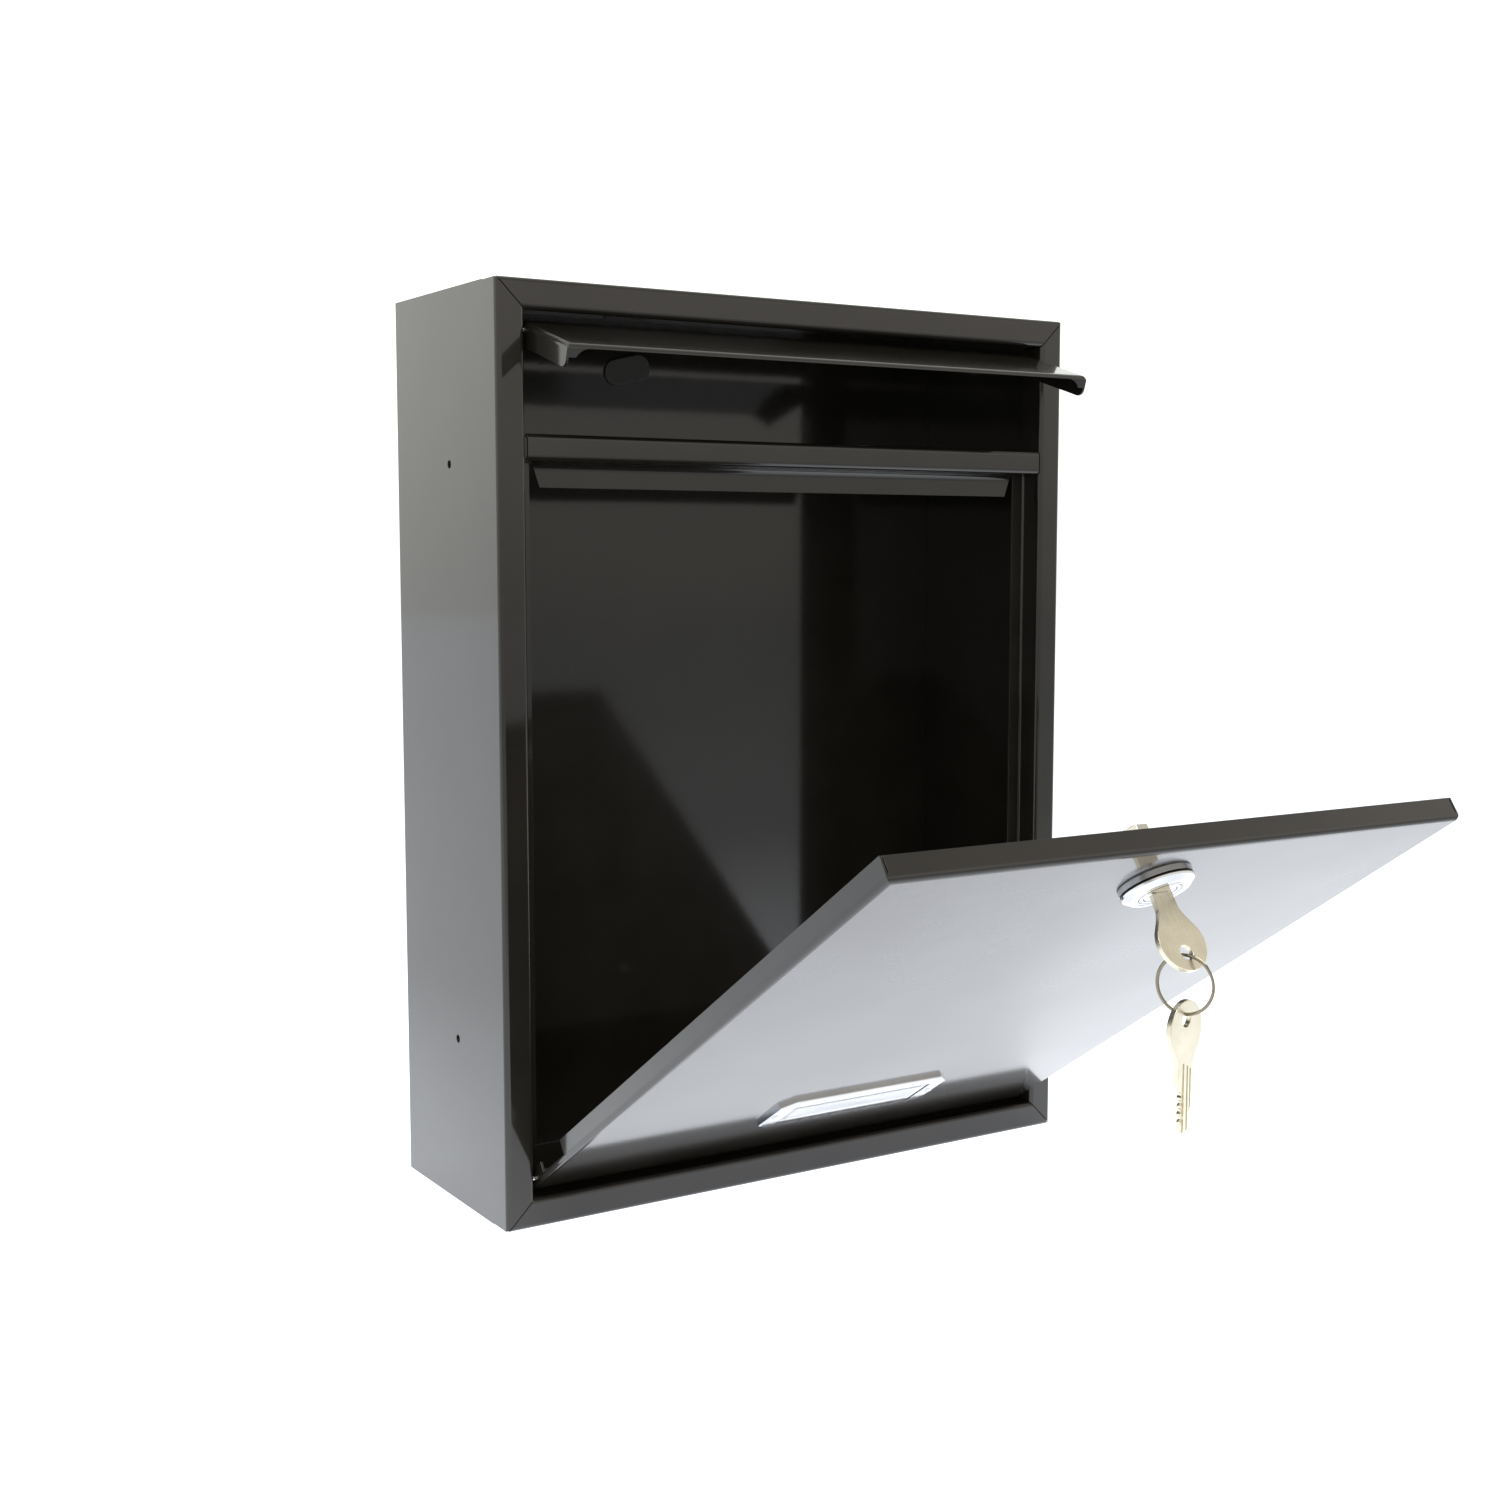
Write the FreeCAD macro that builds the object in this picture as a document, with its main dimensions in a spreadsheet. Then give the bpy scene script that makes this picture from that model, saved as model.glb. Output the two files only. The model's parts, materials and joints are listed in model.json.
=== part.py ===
import FreeCAD, Part
import os
import Sketcher

# Wall mounted mailbox: sheet-steel cabinet with a mail slot and flap, and a bottom-hinged door that
# has a cam lock.
#
# The part's frame: origin at the centre of the wall holes on the back face, +Y into the wall,
# +X to the right as seen from the front, +Z up, millimetres.
#
# The cabinet, door and flap are drawn in a front frame: x from the centre line, y back from the
# front face, z up from the underside. The door and flap are drawn shut, then turned to where they rest.
# The lock, key and card holder are drawn in frames of their own: x right, y up, z out of the door.

App = FreeCAD
Vector = App.Vector
doc = App.newDocument("Mailbox")

# Driving dimensions: alias, value, meaning. Lengths in millimetres, angles in degrees.
SIZES = [
    ("width", 256, "outer width of the cabinet"),
    ("height", 340, "outer height of the cabinet"),
    ("depth", 91, "outer depth of the cabinet"),
    ("sheet", 1, "thickness of all folded steel sheet"),
    ("bend", 2, "outer bend radius of the sheet"),
    ("inner_bend", 1, "inner bend radius of the sheet"),
    ("flange", 11, "visible width of the front flange"),
    ("rebate", 10.5, "depth from the front face to the lip behind the door"),
    ("side_lip", 6, "width of the lip behind the door's side edges"),
    ("bottom_lip_top", 27.4, "height of the bottom lip's top edge"),
    ("seam", 0.2, "half of the open seam at a mitre or a folded corner"),
    ("bar_low", 277, "underside of the crossbar between slot and door"),
    ("bar_high", 286.5, "top of the crossbar"),
    ("bar_lip_low", 268, "lower edge of the crossbar's lip behind the door"),
    ("bar_top_return", 6, "depth of the crossbar's top return"),
    ("bar_end_gap", 0.6, "gap beside each end of the crossbar's face"),
    ("bar_lip_bend", 3, "radius of the fold between the crossbar's underside and its lip"),
    ("bar_lip_half", 110, "half length of the crossbar's lip at its top"),
    ("bar_lip_slant", 3, "how far the lip's end slants inwards"),
    ("wall_hole_span", 200, "distance between a pair of wall holes"),
    ("wall_hole_inset", 9.5, "wall hole centre from the top or bottom"),
    ("wall_hole_radius", 3.25, "radius of a wall hole"),
    ("port_across", -28, "oval port in the back, right of the centre line"),
    ("port_up", 319.5, "oval port above the underside"),
    ("port_tilt", 13, "angle of the oval port, its right end raised"),
    ("port_length", 17.6, "end-to-end length of the oval port"),
    ("port_radius", 3.4, "half width of the oval port"),
    ("port_plug_rim", 1.9, "how far the port plug's head reaches past the port"),
    ("port_plug_head", 1, "thickness of the port plug's head"),
    ("port_plug_slack", 0.1, "clearance round the port plug's neck"),
    ("side_hole_inset", 63, "side hole from the top or bottom"),
    ("side_hole_back", 42, "side hole from the front face"),
    ("side_hole_radius", 1.5, "radius of a side hole"),
    ("hinge_back", 3, "door hinge axis behind the front face"),
    ("hinge_up", 17.8, "door hinge axis above the underside"),
    ("hinge_pin_radius", 0.9, "radius of the door's and the flap's pins"),
    ("pin_play", 0.06, "radial clearance round a turning pin"),
    ("pin_head_radius", 1.25, "radius of a pin's head"),
    ("pin_head", 0.8, "thickness of a pin's head"),
    ("pin_reach", 2.6, "how far a pin reaches past the edge it is fixed in"),
    ("door_half", 115.7, "half width of the door"),
    ("door_low", 11.8, "lower edge of the shut door"),
    ("door_high", 275.8, "upper edge of the shut door"),
    ("door_depth", 8, "depth of the door's folded edges"),
    ("door_foot_depth", 7, "depth of the door's bottom edge, which is its stop"),
    ("notch_low", 26, "lower end of the notch in the door's side edge"),
    ("notch_high", 46, "upper end of the notch in the door's side edge"),
    ("notch_depth", 2.4, "depth of the side edge left at the notch"),
    ("door_open", 56.33, "angle of the open door from shut"),
    ("flap_half", 115.5, "half width of the flap"),
    ("flap_pivot_back", 4.8, "flap pivot axis behind the front face"),
    ("flap_pivot_up", 322.5, "flap pivot axis above the underside"),
    ("flap_recess", 2, "shut flap's face behind the front face"),
    ("flap_low", 287.3, "lower edge of the shut flap"),
    ("flap_high", 326, "upper edge of the shut flap"),
    ("flap_lip", 4.7, "depth of the lips at the ends of the flap's lower edge"),
    ("flap_ear", 8.4, "depth of the flap's ears"),
    ("flap_lip_radius", 6, "radius of the curve between a lip and the bare lower edge"),
    ("flap_lip_reach", 9, "where the curve meets the bare edge, from the flap's end"),
    ("flap_web", 1.4, "depth of the bare lower edge"),
    ("flap_open", 72.7, "angle of the open flap from shut"),
    ("lock_up", 251.4, "lock axis above the underside, door shut"),
    ("collar_radius", 12, "outer radius of the lock's collar"),
    ("collar_height", 3.8, "height of the lock's collar above the door"),
    ("collar_face_radius", 9.8, "radius of the collar's flat face"),
    ("barrel_radius", 8, "radius of the lock's barrel"),
    ("barrel_length", 12, "length of the lock's barrel behind the door's face"),
    ("plug_radius", 5.5, "radius of the turning plug"),
    ("plug_play", 0.08, "radial clearance round the plug"),
    ("plug_sink", 0.2, "plug face below the collar face"),
    ("plug_length", 12.4, "length of the plug behind the door's face"),
    ("keyway_width", 4.9, "width of the keyway"),
    ("keyway_height", 2.2, "height of the keyway"),
    ("keyway_end", 12, "depth of the keyway behind the door's face"),
    ("wafer", 0.8, "thickness of a lock wafer"),
    ("wafer_half", 4.8, "half width of a lock wafer"),
    ("wafer_half_height", 2.4, "half height of a lock wafer"),
    ("wafer_play", 0.1, "clearance round a lock wafer"),
    ("wafer_pitch", 2.4, "distance from one wafer to the next"),
    ("wafer_first", 0.4, "first wafer behind the door's face"),
    ("washer_thickness", 0.8, "thickness of the lock washer"),
    ("lock_nut_flats", 22, "size across flats of the lock nut"),
    ("lock_nut_thickness", 3, "thickness of the lock nut"),
    ("cam_thickness", 2, "thickness of the lock cam"),
    ("cam_width", 12, "width of the lock cam"),
    ("cam_reach", 20, "reach of the cam from the lock axis"),
    ("tenon", 6, "side of the plug's square tenon"),
    ("stud_radius", 2.4, "radius of the plug's threaded stud"),
    ("stud_length", 4.4, "length of the threaded stud behind the cam"),
    ("cam_washer_radius", 5, "radius of the cam washer"),
    ("cam_nut_flats", 8, "size across flats of the cam nut"),
    ("cam_nut_thickness", 3, "thickness of the cam nut"),
    ("key_thickness", 1.8, "thickness of the key"),
    ("key_blade_half", 2.3, "half width of the key's blade"),
    ("key_blade", 15.5, "length of the key's blade"),
    ("key_shoulder_half", 4.1, "half width of the key's shoulder"),
    ("key_shoulder", 4.8, "length of the key's shoulder"),
    ("key_head_radius", 9.1, "radius of the key's head"),
    ("key_head", 20.7, "length of the key's head past the shoulder"),
    ("key_hole_radius", 2.4, "radius of the key's hole"),
    ("key_hole_inset", 5.9, "key's hole from the end of its head"),
    ("key_gap", 0.3, "key's shoulder above the plug's face"),
    ("key_groove", 0.4, "depth of the grooves milled in the key"),
    ("key_cut", 0.9, "depth of the cuts in the blade"),
    ("ring_radius", 9, "radius of the key ring at the middle of its wire"),
    ("ring_wire", 0.5, "radius of the key ring's wire"),
    ("ring_offset", 0.6, "ring's wire from the centre of the first key's hole"),
    ("spare_offset", 1.5, "ring's wire from the centre of the spare key's hole"),
    ("ring_turn", 68, "heading of the ring's axis, clockwise from the wall's direction"),
    ("spare_turn", 15, "heading of the spare key's flat, anticlockwise from the wall's direction"),
    ("card_up", 59.9, "middle of the card holder above the underside, door shut"),
    ("card_width", 76, "width of the card holder"),
    ("card_height", 28, "height of the card holder"),
    ("card_frame", 1.8, "thickness of the card holder's frame"),
    ("card_corner", 5, "cut corner of the card holder"),
    ("card_recess_width", 66, "width of the space for the card"),
    ("card_recess_height", 21, "height of the space for the card"),
    ("card_recess", 1.1, "depth of the space for the card"),
    ("card_view_width", 62, "width of the card holder's opening"),
    ("card_view_height", 17, "height of the card holder's opening"),
    ("card_play", 0.2, "clearance round the card and its window"),
    ("card_paper", 0.4, "thickness of the name card"),
    ("card_window", 0.5, "thickness of the card window"),
    ("rivet_span", 70.6, "distance between the card holder's rivets"),
    ("rivet_radius", 1.1, "radius of a card holder rivet"),
    ("rivet_head_radius", 1.4, "radius of the rivet's outer head"),
    ("rivet_head", 0.5, "height of a rivet's head"),
]

# Spring wafers in the lock's plug.
WAFERS = 4

NODES = []


def make_sheet():
    """Keep every driving dimension in a spreadsheet cell with an alias."""
    sizes = doc.addObject("Spreadsheet::Sheet", "Sizes")
    for row, (alias, size, meaning) in enumerate(SIZES, start=1):
        sizes.set("A%d" % row, meaning)
        sizes.set("B%d" % row, str(size))
        sizes.setAlias("B%d" % row, alias)
    doc.recompute()
    return sizes


sheet = make_sheet()


def size(alias):
    """Read one driving dimension."""
    return float(sheet.get(alias))


def value(owner, expression):
    """Evaluate an expression as the document itself would."""
    result = owner.evalExpression(expression)
    return float(getattr(result, "Value", result))


# ------------------------------------------------------------------ sketches and features


def new_body(label, place):
    """Start a sub-part: its label is the name of its file."""
    body = doc.addObject("PartDesign::Body", label)
    body.Label = label
    body.Placement = place
    NODES.append(body)
    return body


def new_sketch(body, role, offset="0"):
    """Attach a sketch to one of the body's own origin planes, moved along its normal."""
    sketch = body.newObject("Sketcher::SketchObject", "Sketch")
    plane = next(feature for feature in body.Origin.OriginFeatures if feature.Role == role)
    sketch.AttachmentSupport = [(plane, "")]
    sketch.MapMode = "FlatFace"
    sketch.setExpression("AttachmentOffset.Base.z", offset)
    return sketch


def bind(sketch, kind, geometry, point, expression):
    """Hold one coordinate of a sketch point, measured from the sketch's origin."""
    constraint = Sketcher.Constraint(kind, -1, 1, geometry, point, value(sketch, expression))
    index = sketch.addConstraint(constraint)
    sketch.setExpression("Constraints[%d]" % index, expression)


def bind_radius(sketch, geometry, expression):
    """Hold the radius of a circle or an arc."""
    index = sketch.addConstraint(Sketcher.Constraint("Radius", geometry, value(sketch, expression)))
    sketch.setExpression("Constraints[%d]" % index, expression)


def draw_outline(sketch, corners):
    """Draw a closed outline of straight lines through corners given as expressions."""
    places = [Vector(value(sketch, x), value(sketch, y), 0) for x, y in corners]
    first = sketch.GeometryCount
    count = len(corners)
    for index, place in enumerate(places):
        sketch.addGeometry(Part.LineSegment(place, places[(index + 1) % count]), False)
    for index in range(count):
        following = first + (index + 1) % count
        sketch.addConstraint(Sketcher.Constraint("Coincident", first + index, 2, following, 1))
    for index, (x, y) in enumerate(corners):
        bind(sketch, "DistanceX", first + index, 1, x)
        bind(sketch, "DistanceY", first + index, 1, y)


def draw_rectangle(sketch, left, right, low, high):
    """Draw an upright rectangle."""
    draw_outline(sketch, [(left, low), (right, low), (right, high), (left, high)])


def draw_circle(sketch, x, y, radius):
    """Draw a circle."""
    centre = Vector(value(sketch, x), value(sketch, y), 0)
    circle = sketch.addGeometry(Part.Circle(centre, Vector(0, 0, 1), value(sketch, radius)), False)
    bind(sketch, "DistanceX", circle, 3, x)
    bind(sketch, "DistanceY", circle, 3, y)
    bind_radius(sketch, circle, radius)


def draw_slot(sketch, x, y, length, radius):
    """Draw a slot that lies along the sketch's first axis, with round ends."""
    middle = Vector(value(sketch, x), value(sketch, y), 0)
    half = value(sketch, "(%s) / 2 - (%s)" % (length, radius))
    end_radius = value(sketch, radius)
    up = Vector(0, end_radius, 0)
    arcs = []
    for side in (1, -1):
        centre = middle + Vector(side * half, 0, 0)
        tip = centre + Vector(side * end_radius, 0, 0)
        arc = Part.Arc(centre - up * side, tip, centre + up * side)
        geometry = sketch.addGeometry(arc, False)
        bind(sketch, "DistanceX", geometry, 3, "%s + %d * ((%s) / 2 - (%s))" % (x, side, length, radius))
        bind(sketch, "DistanceY", geometry, 3, y)
        bind_radius(sketch, geometry, radius)
        for end in (1, 2):
            sketch.addConstraint(Sketcher.Constraint("Vertical", geometry, end, geometry, 3))
        arcs.append(geometry)
    right, left = arcs
    for start, finish in ((right, left), (left, right)):
        line = Part.LineSegment(sketch.getPoint(start, 2), sketch.getPoint(finish, 1))
        geometry = sketch.addGeometry(line, False)
        sketch.addConstraint(Sketcher.Constraint("Coincident", geometry, 1, start, 2))
        sketch.addConstraint(Sketcher.Constraint("Coincident", geometry, 2, finish, 1))


def add_pad(body, sketch, length, reversed_way=False):
    """Pad a sketch along its normal, or against it."""
    pad = body.newObject("PartDesign::Pad", "Pad")
    pad.Profile = sketch
    pad.Reversed = reversed_way
    pad.setExpression("Length", length)
    doc.recompute()
    return pad


def add_pocket(body, sketch, reach):
    """Cut a sketch out to the same reach on both sides of its plane, and make sure it cuts."""
    before = body.Shape.Volume
    pocket = body.newObject("PartDesign::Pocket", "Pocket")
    pocket.Profile = sketch
    pocket.SideType = "Symmetric"
    pocket.setExpression("Length", "2 * (%s)" % reach)
    doc.recompute()
    if not body.Shape.Volume < before:
        raise ValueError("a pocket cuts nothing in " + body.Label)
    return pocket


def add_revolution(body, sketch):
    """Turn a sketch fully about its second axis."""
    turned = body.newObject("PartDesign::Revolution", "Revolution")
    turned.Profile = sketch
    turned.ReferenceAxis = (sketch, ["V_Axis"])
    turned.Angle = 360
    doc.recompute()
    return turned


def round_edges(body, wanted, radius):
    """Fillet the body's edges that the test picks."""
    base = body.Tip
    names = ["Edge%d" % (index + 1) for index, edge in enumerate(base.Shape.Edges) if wanted(edge)]
    if not names:
        raise ValueError("no edge to round in " + body.Label)
    fillet = body.newObject("PartDesign::Fillet", "Fillet")
    fillet.Base = (base, names)
    fillet.setExpression("Radius", radius)
    doc.recompute()
    return fillet


def along(edge, axis):
    """True for a straight edge that runs along one axis of the body."""
    start, end = edge.Vertexes[0].Point, edge.Vertexes[-1].Point
    run = end - start
    return abs(abs(run.dot(axis)) - run.Length) < 1e-6 and run.Length > 0


def at_line(edge, axis, first, second):
    """True for a straight edge along axis that passes through a point of the cross plane."""
    if not along(edge, axis):
        return False
    across = [number for number in range(3) if abs(axis[number]) < 0.5]
    point = edge.Vertexes[0].Point
    return abs(point[across[0]] - first) < 1e-4 and abs(point[across[1]] - second) < 1e-4


def fold(body, axis, corners, radius):
    """Round the bends of a folded sheet: edges along axis through corners, pairs of expressions."""
    owner = body.Tip
    points = [(value(owner, first), value(owner, second)) for first, second in corners]
    round_edges(body, lambda edge: any(at_line(edge, axis, u, v) for u, v in points), radius)


# ------------------------------------------------------------------ where things rest


def front_place():
    """From the front frame to the part's frame."""
    return App.Placement(Vector(0, -size("depth"), -size("height") / 2), App.Rotation())


def swung_place(back, up, angle):
    """From the front frame to the part's frame, turned about a hinge line along x."""
    turn = App.Rotation(Vector(1, 0, 0), angle)
    return front_place() * App.Placement(Vector(), turn, Vector(0, back, up))


def door_place():
    """The open door: its top comes forward."""
    return swung_place(size("hinge_back"), size("hinge_up"), size("door_open"))


def flap_place():
    """The open flap: its lower edge comes forward."""
    return swung_place(size("flap_pivot_back"), size("flap_pivot_up"), -size("flap_open"))


def on_door(up):
    """A frame on the door's face: x right, y up the door, z out of it."""
    facing = App.Rotation(Vector(1, 0, 0), 90)
    return door_place() * App.Placement(Vector(0, 0, up), facing)


X_AXIS = Vector(1, 0, 0)
Z_AXIS = Vector(0, 0, 1)


# ------------------------------------------------------------------ cabinet


def cut_side_mitres(body, side):
    """Trim a side panel's front folds to 45 degrees, and its lip to the door opening."""
    edge = "%d * Sizes.width / 2" % side
    inner = "%d * (Sizes.width / 2 - Sizes.flange)" % side
    far = "%d * (Sizes.width / 2 - 3 * Sizes.flange)" % side
    top = new_sketch(body, "XZ_Plane")
    draw_outline(top, [
        (edge, "Sizes.height - Sizes.seam"), (edge, "Sizes.height + Sizes.flange"),
        (far, "Sizes.height + Sizes.flange"), (far, "Sizes.height - Sizes.flange - Sizes.seam"),
        (inner, "Sizes.height - Sizes.flange - Sizes.seam")])
    add_pocket(body, top, "Sizes.rebate + 2 * Sizes.sheet")
    bottom = new_sketch(body, "XZ_Plane")
    draw_outline(bottom, [
        (edge, "Sizes.seam"), (edge, "-Sizes.flange"), (far, "-Sizes.flange"),
        (far, "Sizes.flange + Sizes.seam"), (inner, "Sizes.flange + Sizes.seam")])
    add_pocket(body, bottom, "Sizes.rebate + 2 * Sizes.sheet")
    lip_root = "%d * (Sizes.width / 2 - Sizes.flange)" % side
    ends = (("0", "Sizes.bottom_lip_top + 2 * Sizes.seam"), ("Sizes.bar_low", "Sizes.height"))
    for low, high in ends:
        lip = new_sketch(body, "XZ_Plane", "-Sizes.rebate")
        draw_rectangle(lip, far, lip_root, low, high)
        add_pocket(body, lip, "Sizes.sheet + Sizes.inner_bend")


def make_side_panel(label, side):
    """Side sheet with its front flange, return and rebate lip."""
    body = new_body(label, front_place())
    outer = "%d * Sizes.width / 2" % side
    inside = "%d * (Sizes.width / 2 - Sizes.sheet)" % side
    flange_end = "%d * (Sizes.width / 2 - Sizes.flange)" % side
    behind = "%d * (Sizes.width / 2 - Sizes.flange + Sizes.sheet)" % side
    lip_end = "%d * (Sizes.width / 2 - Sizes.flange - Sizes.side_lip)" % side
    profile = new_sketch(body, "XY_Plane")
    draw_outline(profile, [
        (outer, "Sizes.depth"), (outer, "0"), (flange_end, "0"), (flange_end, "Sizes.rebate"),
        (lip_end, "Sizes.rebate"), (lip_end, "Sizes.rebate + Sizes.sheet"),
        (behind, "Sizes.rebate + Sizes.sheet"), (behind, "Sizes.sheet"),
        (inside, "Sizes.sheet"), (inside, "Sizes.depth")])
    add_pad(body, profile, "Sizes.height")
    fold(body, Z_AXIS, [(outer, "0"), (flange_end, "0"), (behind, "Sizes.rebate + Sizes.sheet")],
         "Sizes.bend")
    fold(body, Z_AXIS, [(inside, "Sizes.sheet"), (behind, "Sizes.sheet"), (flange_end, "Sizes.rebate")],
         "Sizes.inner_bend")
    cut_side_mitres(body, side)
    holes = new_sketch(body, "YZ_Plane", outer)
    for up in ("Sizes.side_hole_inset", "Sizes.height - Sizes.side_hole_inset"):
        draw_circle(holes, "Sizes.side_hole_back", up, "Sizes.side_hole_radius")
    add_pocket(body, holes, "2 * Sizes.sheet")
    pivots = new_sketch(body, "YZ_Plane", flange_end)
    draw_circle(pivots, "Sizes.hinge_back", "Sizes.hinge_up", "Sizes.hinge_pin_radius + Sizes.pin_play")
    draw_circle(pivots, "Sizes.flap_pivot_back", "Sizes.flap_pivot_up",
                "Sizes.hinge_pin_radius + Sizes.pin_play")
    add_pocket(body, pivots, "2 * Sizes.sheet")


def cut_end_mitres(body, edge, corner, beyond):
    """Trim the folds of the top or bottom panel to 45 degrees at both ends."""
    for side in (-1, 1):
        tip = "%d * (Sizes.width / 2 - Sizes.seam)" % side
        root = "%d * (Sizes.width / 2 - Sizes.flange - Sizes.seam)" % side
        outside = "%d * Sizes.width" % side
        mitre = new_sketch(body, "XZ_Plane")
        draw_outline(mitre, [(tip, edge), (outside, edge), (outside, beyond), (root, beyond), (root, corner)])
        add_pocket(body, mitre, "Sizes.rebate + 2 * Sizes.sheet")


def make_top_panel():
    """Top sheet with its front flange and return."""
    body = new_body("top_panel", front_place())
    high = "Sizes.height"
    under = "Sizes.height - Sizes.sheet"
    low = "Sizes.height - Sizes.flange"
    above = "Sizes.height - Sizes.flange + Sizes.sheet"
    profile = new_sketch(body, "YZ_Plane", "Sizes.sheet - Sizes.width / 2")
    draw_outline(profile, [
        ("Sizes.depth", high), ("0", high), ("0", low), ("Sizes.rebate", low), ("Sizes.rebate", above),
        ("Sizes.sheet", above), ("Sizes.sheet", under), ("Sizes.depth", under)])
    add_pad(body, profile, "Sizes.width - 2 * Sizes.sheet")
    fold(body, X_AXIS, [("0", high), ("0", low)], "Sizes.bend")
    fold(body, X_AXIS, [("Sizes.sheet", above), ("Sizes.sheet", under)], "Sizes.inner_bend")
    cut_end_mitres(body, high, low, "Sizes.height - 2 * Sizes.flange")


def make_bottom_panel():
    """Bottom sheet with its front flange, return and the upright lip that stops the door."""
    body = new_body("bottom_panel", front_place())
    profile = new_sketch(body, "YZ_Plane", "Sizes.sheet - Sizes.width / 2")
    draw_outline(profile, [
        ("Sizes.depth", "0"), ("0", "0"), ("0", "Sizes.flange"), ("Sizes.rebate", "Sizes.flange"),
        ("Sizes.rebate", "Sizes.bottom_lip_top"), ("Sizes.rebate + Sizes.sheet", "Sizes.bottom_lip_top"),
        ("Sizes.rebate + Sizes.sheet", "Sizes.flange - Sizes.sheet"),
        ("Sizes.sheet", "Sizes.flange - Sizes.sheet"), ("Sizes.sheet", "Sizes.sheet"),
        ("Sizes.depth", "Sizes.sheet")])
    add_pad(body, profile, "Sizes.width - 2 * Sizes.sheet")
    fold(body, X_AXIS, [("0", "0"), ("0", "Sizes.flange"),
                        ("Sizes.rebate + Sizes.sheet", "Sizes.flange - Sizes.sheet")], "Sizes.bend")
    fold(body, X_AXIS, [("Sizes.sheet", "Sizes.sheet"), ("Sizes.sheet", "Sizes.flange - Sizes.sheet"),
                        ("Sizes.rebate", "Sizes.flange")], "Sizes.inner_bend")
    cut_end_mitres(body, "0", "Sizes.flange", "3 * Sizes.flange")


def new_port_sketch(body, offset):
    """Attach a sketch to the front plane, centred on the oval port and turned along it."""
    sketch = new_sketch(body, "XZ_Plane", offset)
    turn = App.Rotation(Z_AXIS, size("port_tilt"))
    centre = Vector(size("port_across"), size("port_up"), value(sketch, offset))
    sketch.AttachmentOffset = App.Placement(centre, turn)
    doc.recompute()
    return sketch


def make_back_panel():
    """Back sheet with four holes for the wall screws and an oval port."""
    body = new_body("back_panel", front_place())
    outline = new_sketch(body, "XZ_Plane", "Sizes.sheet - Sizes.depth")
    draw_rectangle(outline, "Sizes.sheet - Sizes.width / 2", "Sizes.width / 2 - Sizes.sheet",
                   "Sizes.sheet", "Sizes.height - Sizes.sheet")
    for up in ("Sizes.wall_hole_inset", "Sizes.height - Sizes.wall_hole_inset"):
        for side in (-1, 1):
            draw_circle(outline, "%d * Sizes.wall_hole_span / 2" % side, up, "Sizes.wall_hole_radius")
    add_pad(body, outline, "Sizes.sheet", reversed_way=True)
    port = new_port_sketch(body, "-Sizes.depth")
    draw_slot(port, "0", "0", "Sizes.port_length", "Sizes.port_radius")
    add_pocket(body, port, "2 * Sizes.sheet")


def make_port_plug():
    """Rubber plug that closes the oval port from inside: a rounded head on a short neck."""
    body = new_body("port_plug", front_place())
    head = new_port_sketch(body, "Sizes.sheet - Sizes.depth")
    draw_slot(head, "0", "0", "Sizes.port_length + 2 * Sizes.port_plug_rim",
              "Sizes.port_radius + Sizes.port_plug_rim")
    add_pad(body, head, "Sizes.port_plug_head")
    crown = size("depth") - size("sheet") - size("port_plug_head")
    round_edges(body, lambda edge: all(abs(vertex.Point.y - crown) < 1e-6 for vertex in edge.Vertexes),
                "Sizes.port_plug_head / 2")
    neck = new_port_sketch(body, "Sizes.sheet - Sizes.depth")
    draw_slot(neck, "0", "0", "Sizes.port_length - 2 * Sizes.port_plug_slack",
              "Sizes.port_radius - Sizes.port_plug_slack")
    add_pad(body, neck, "Sizes.sheet - Sizes.port_plug_slack", reversed_way=True)


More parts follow.
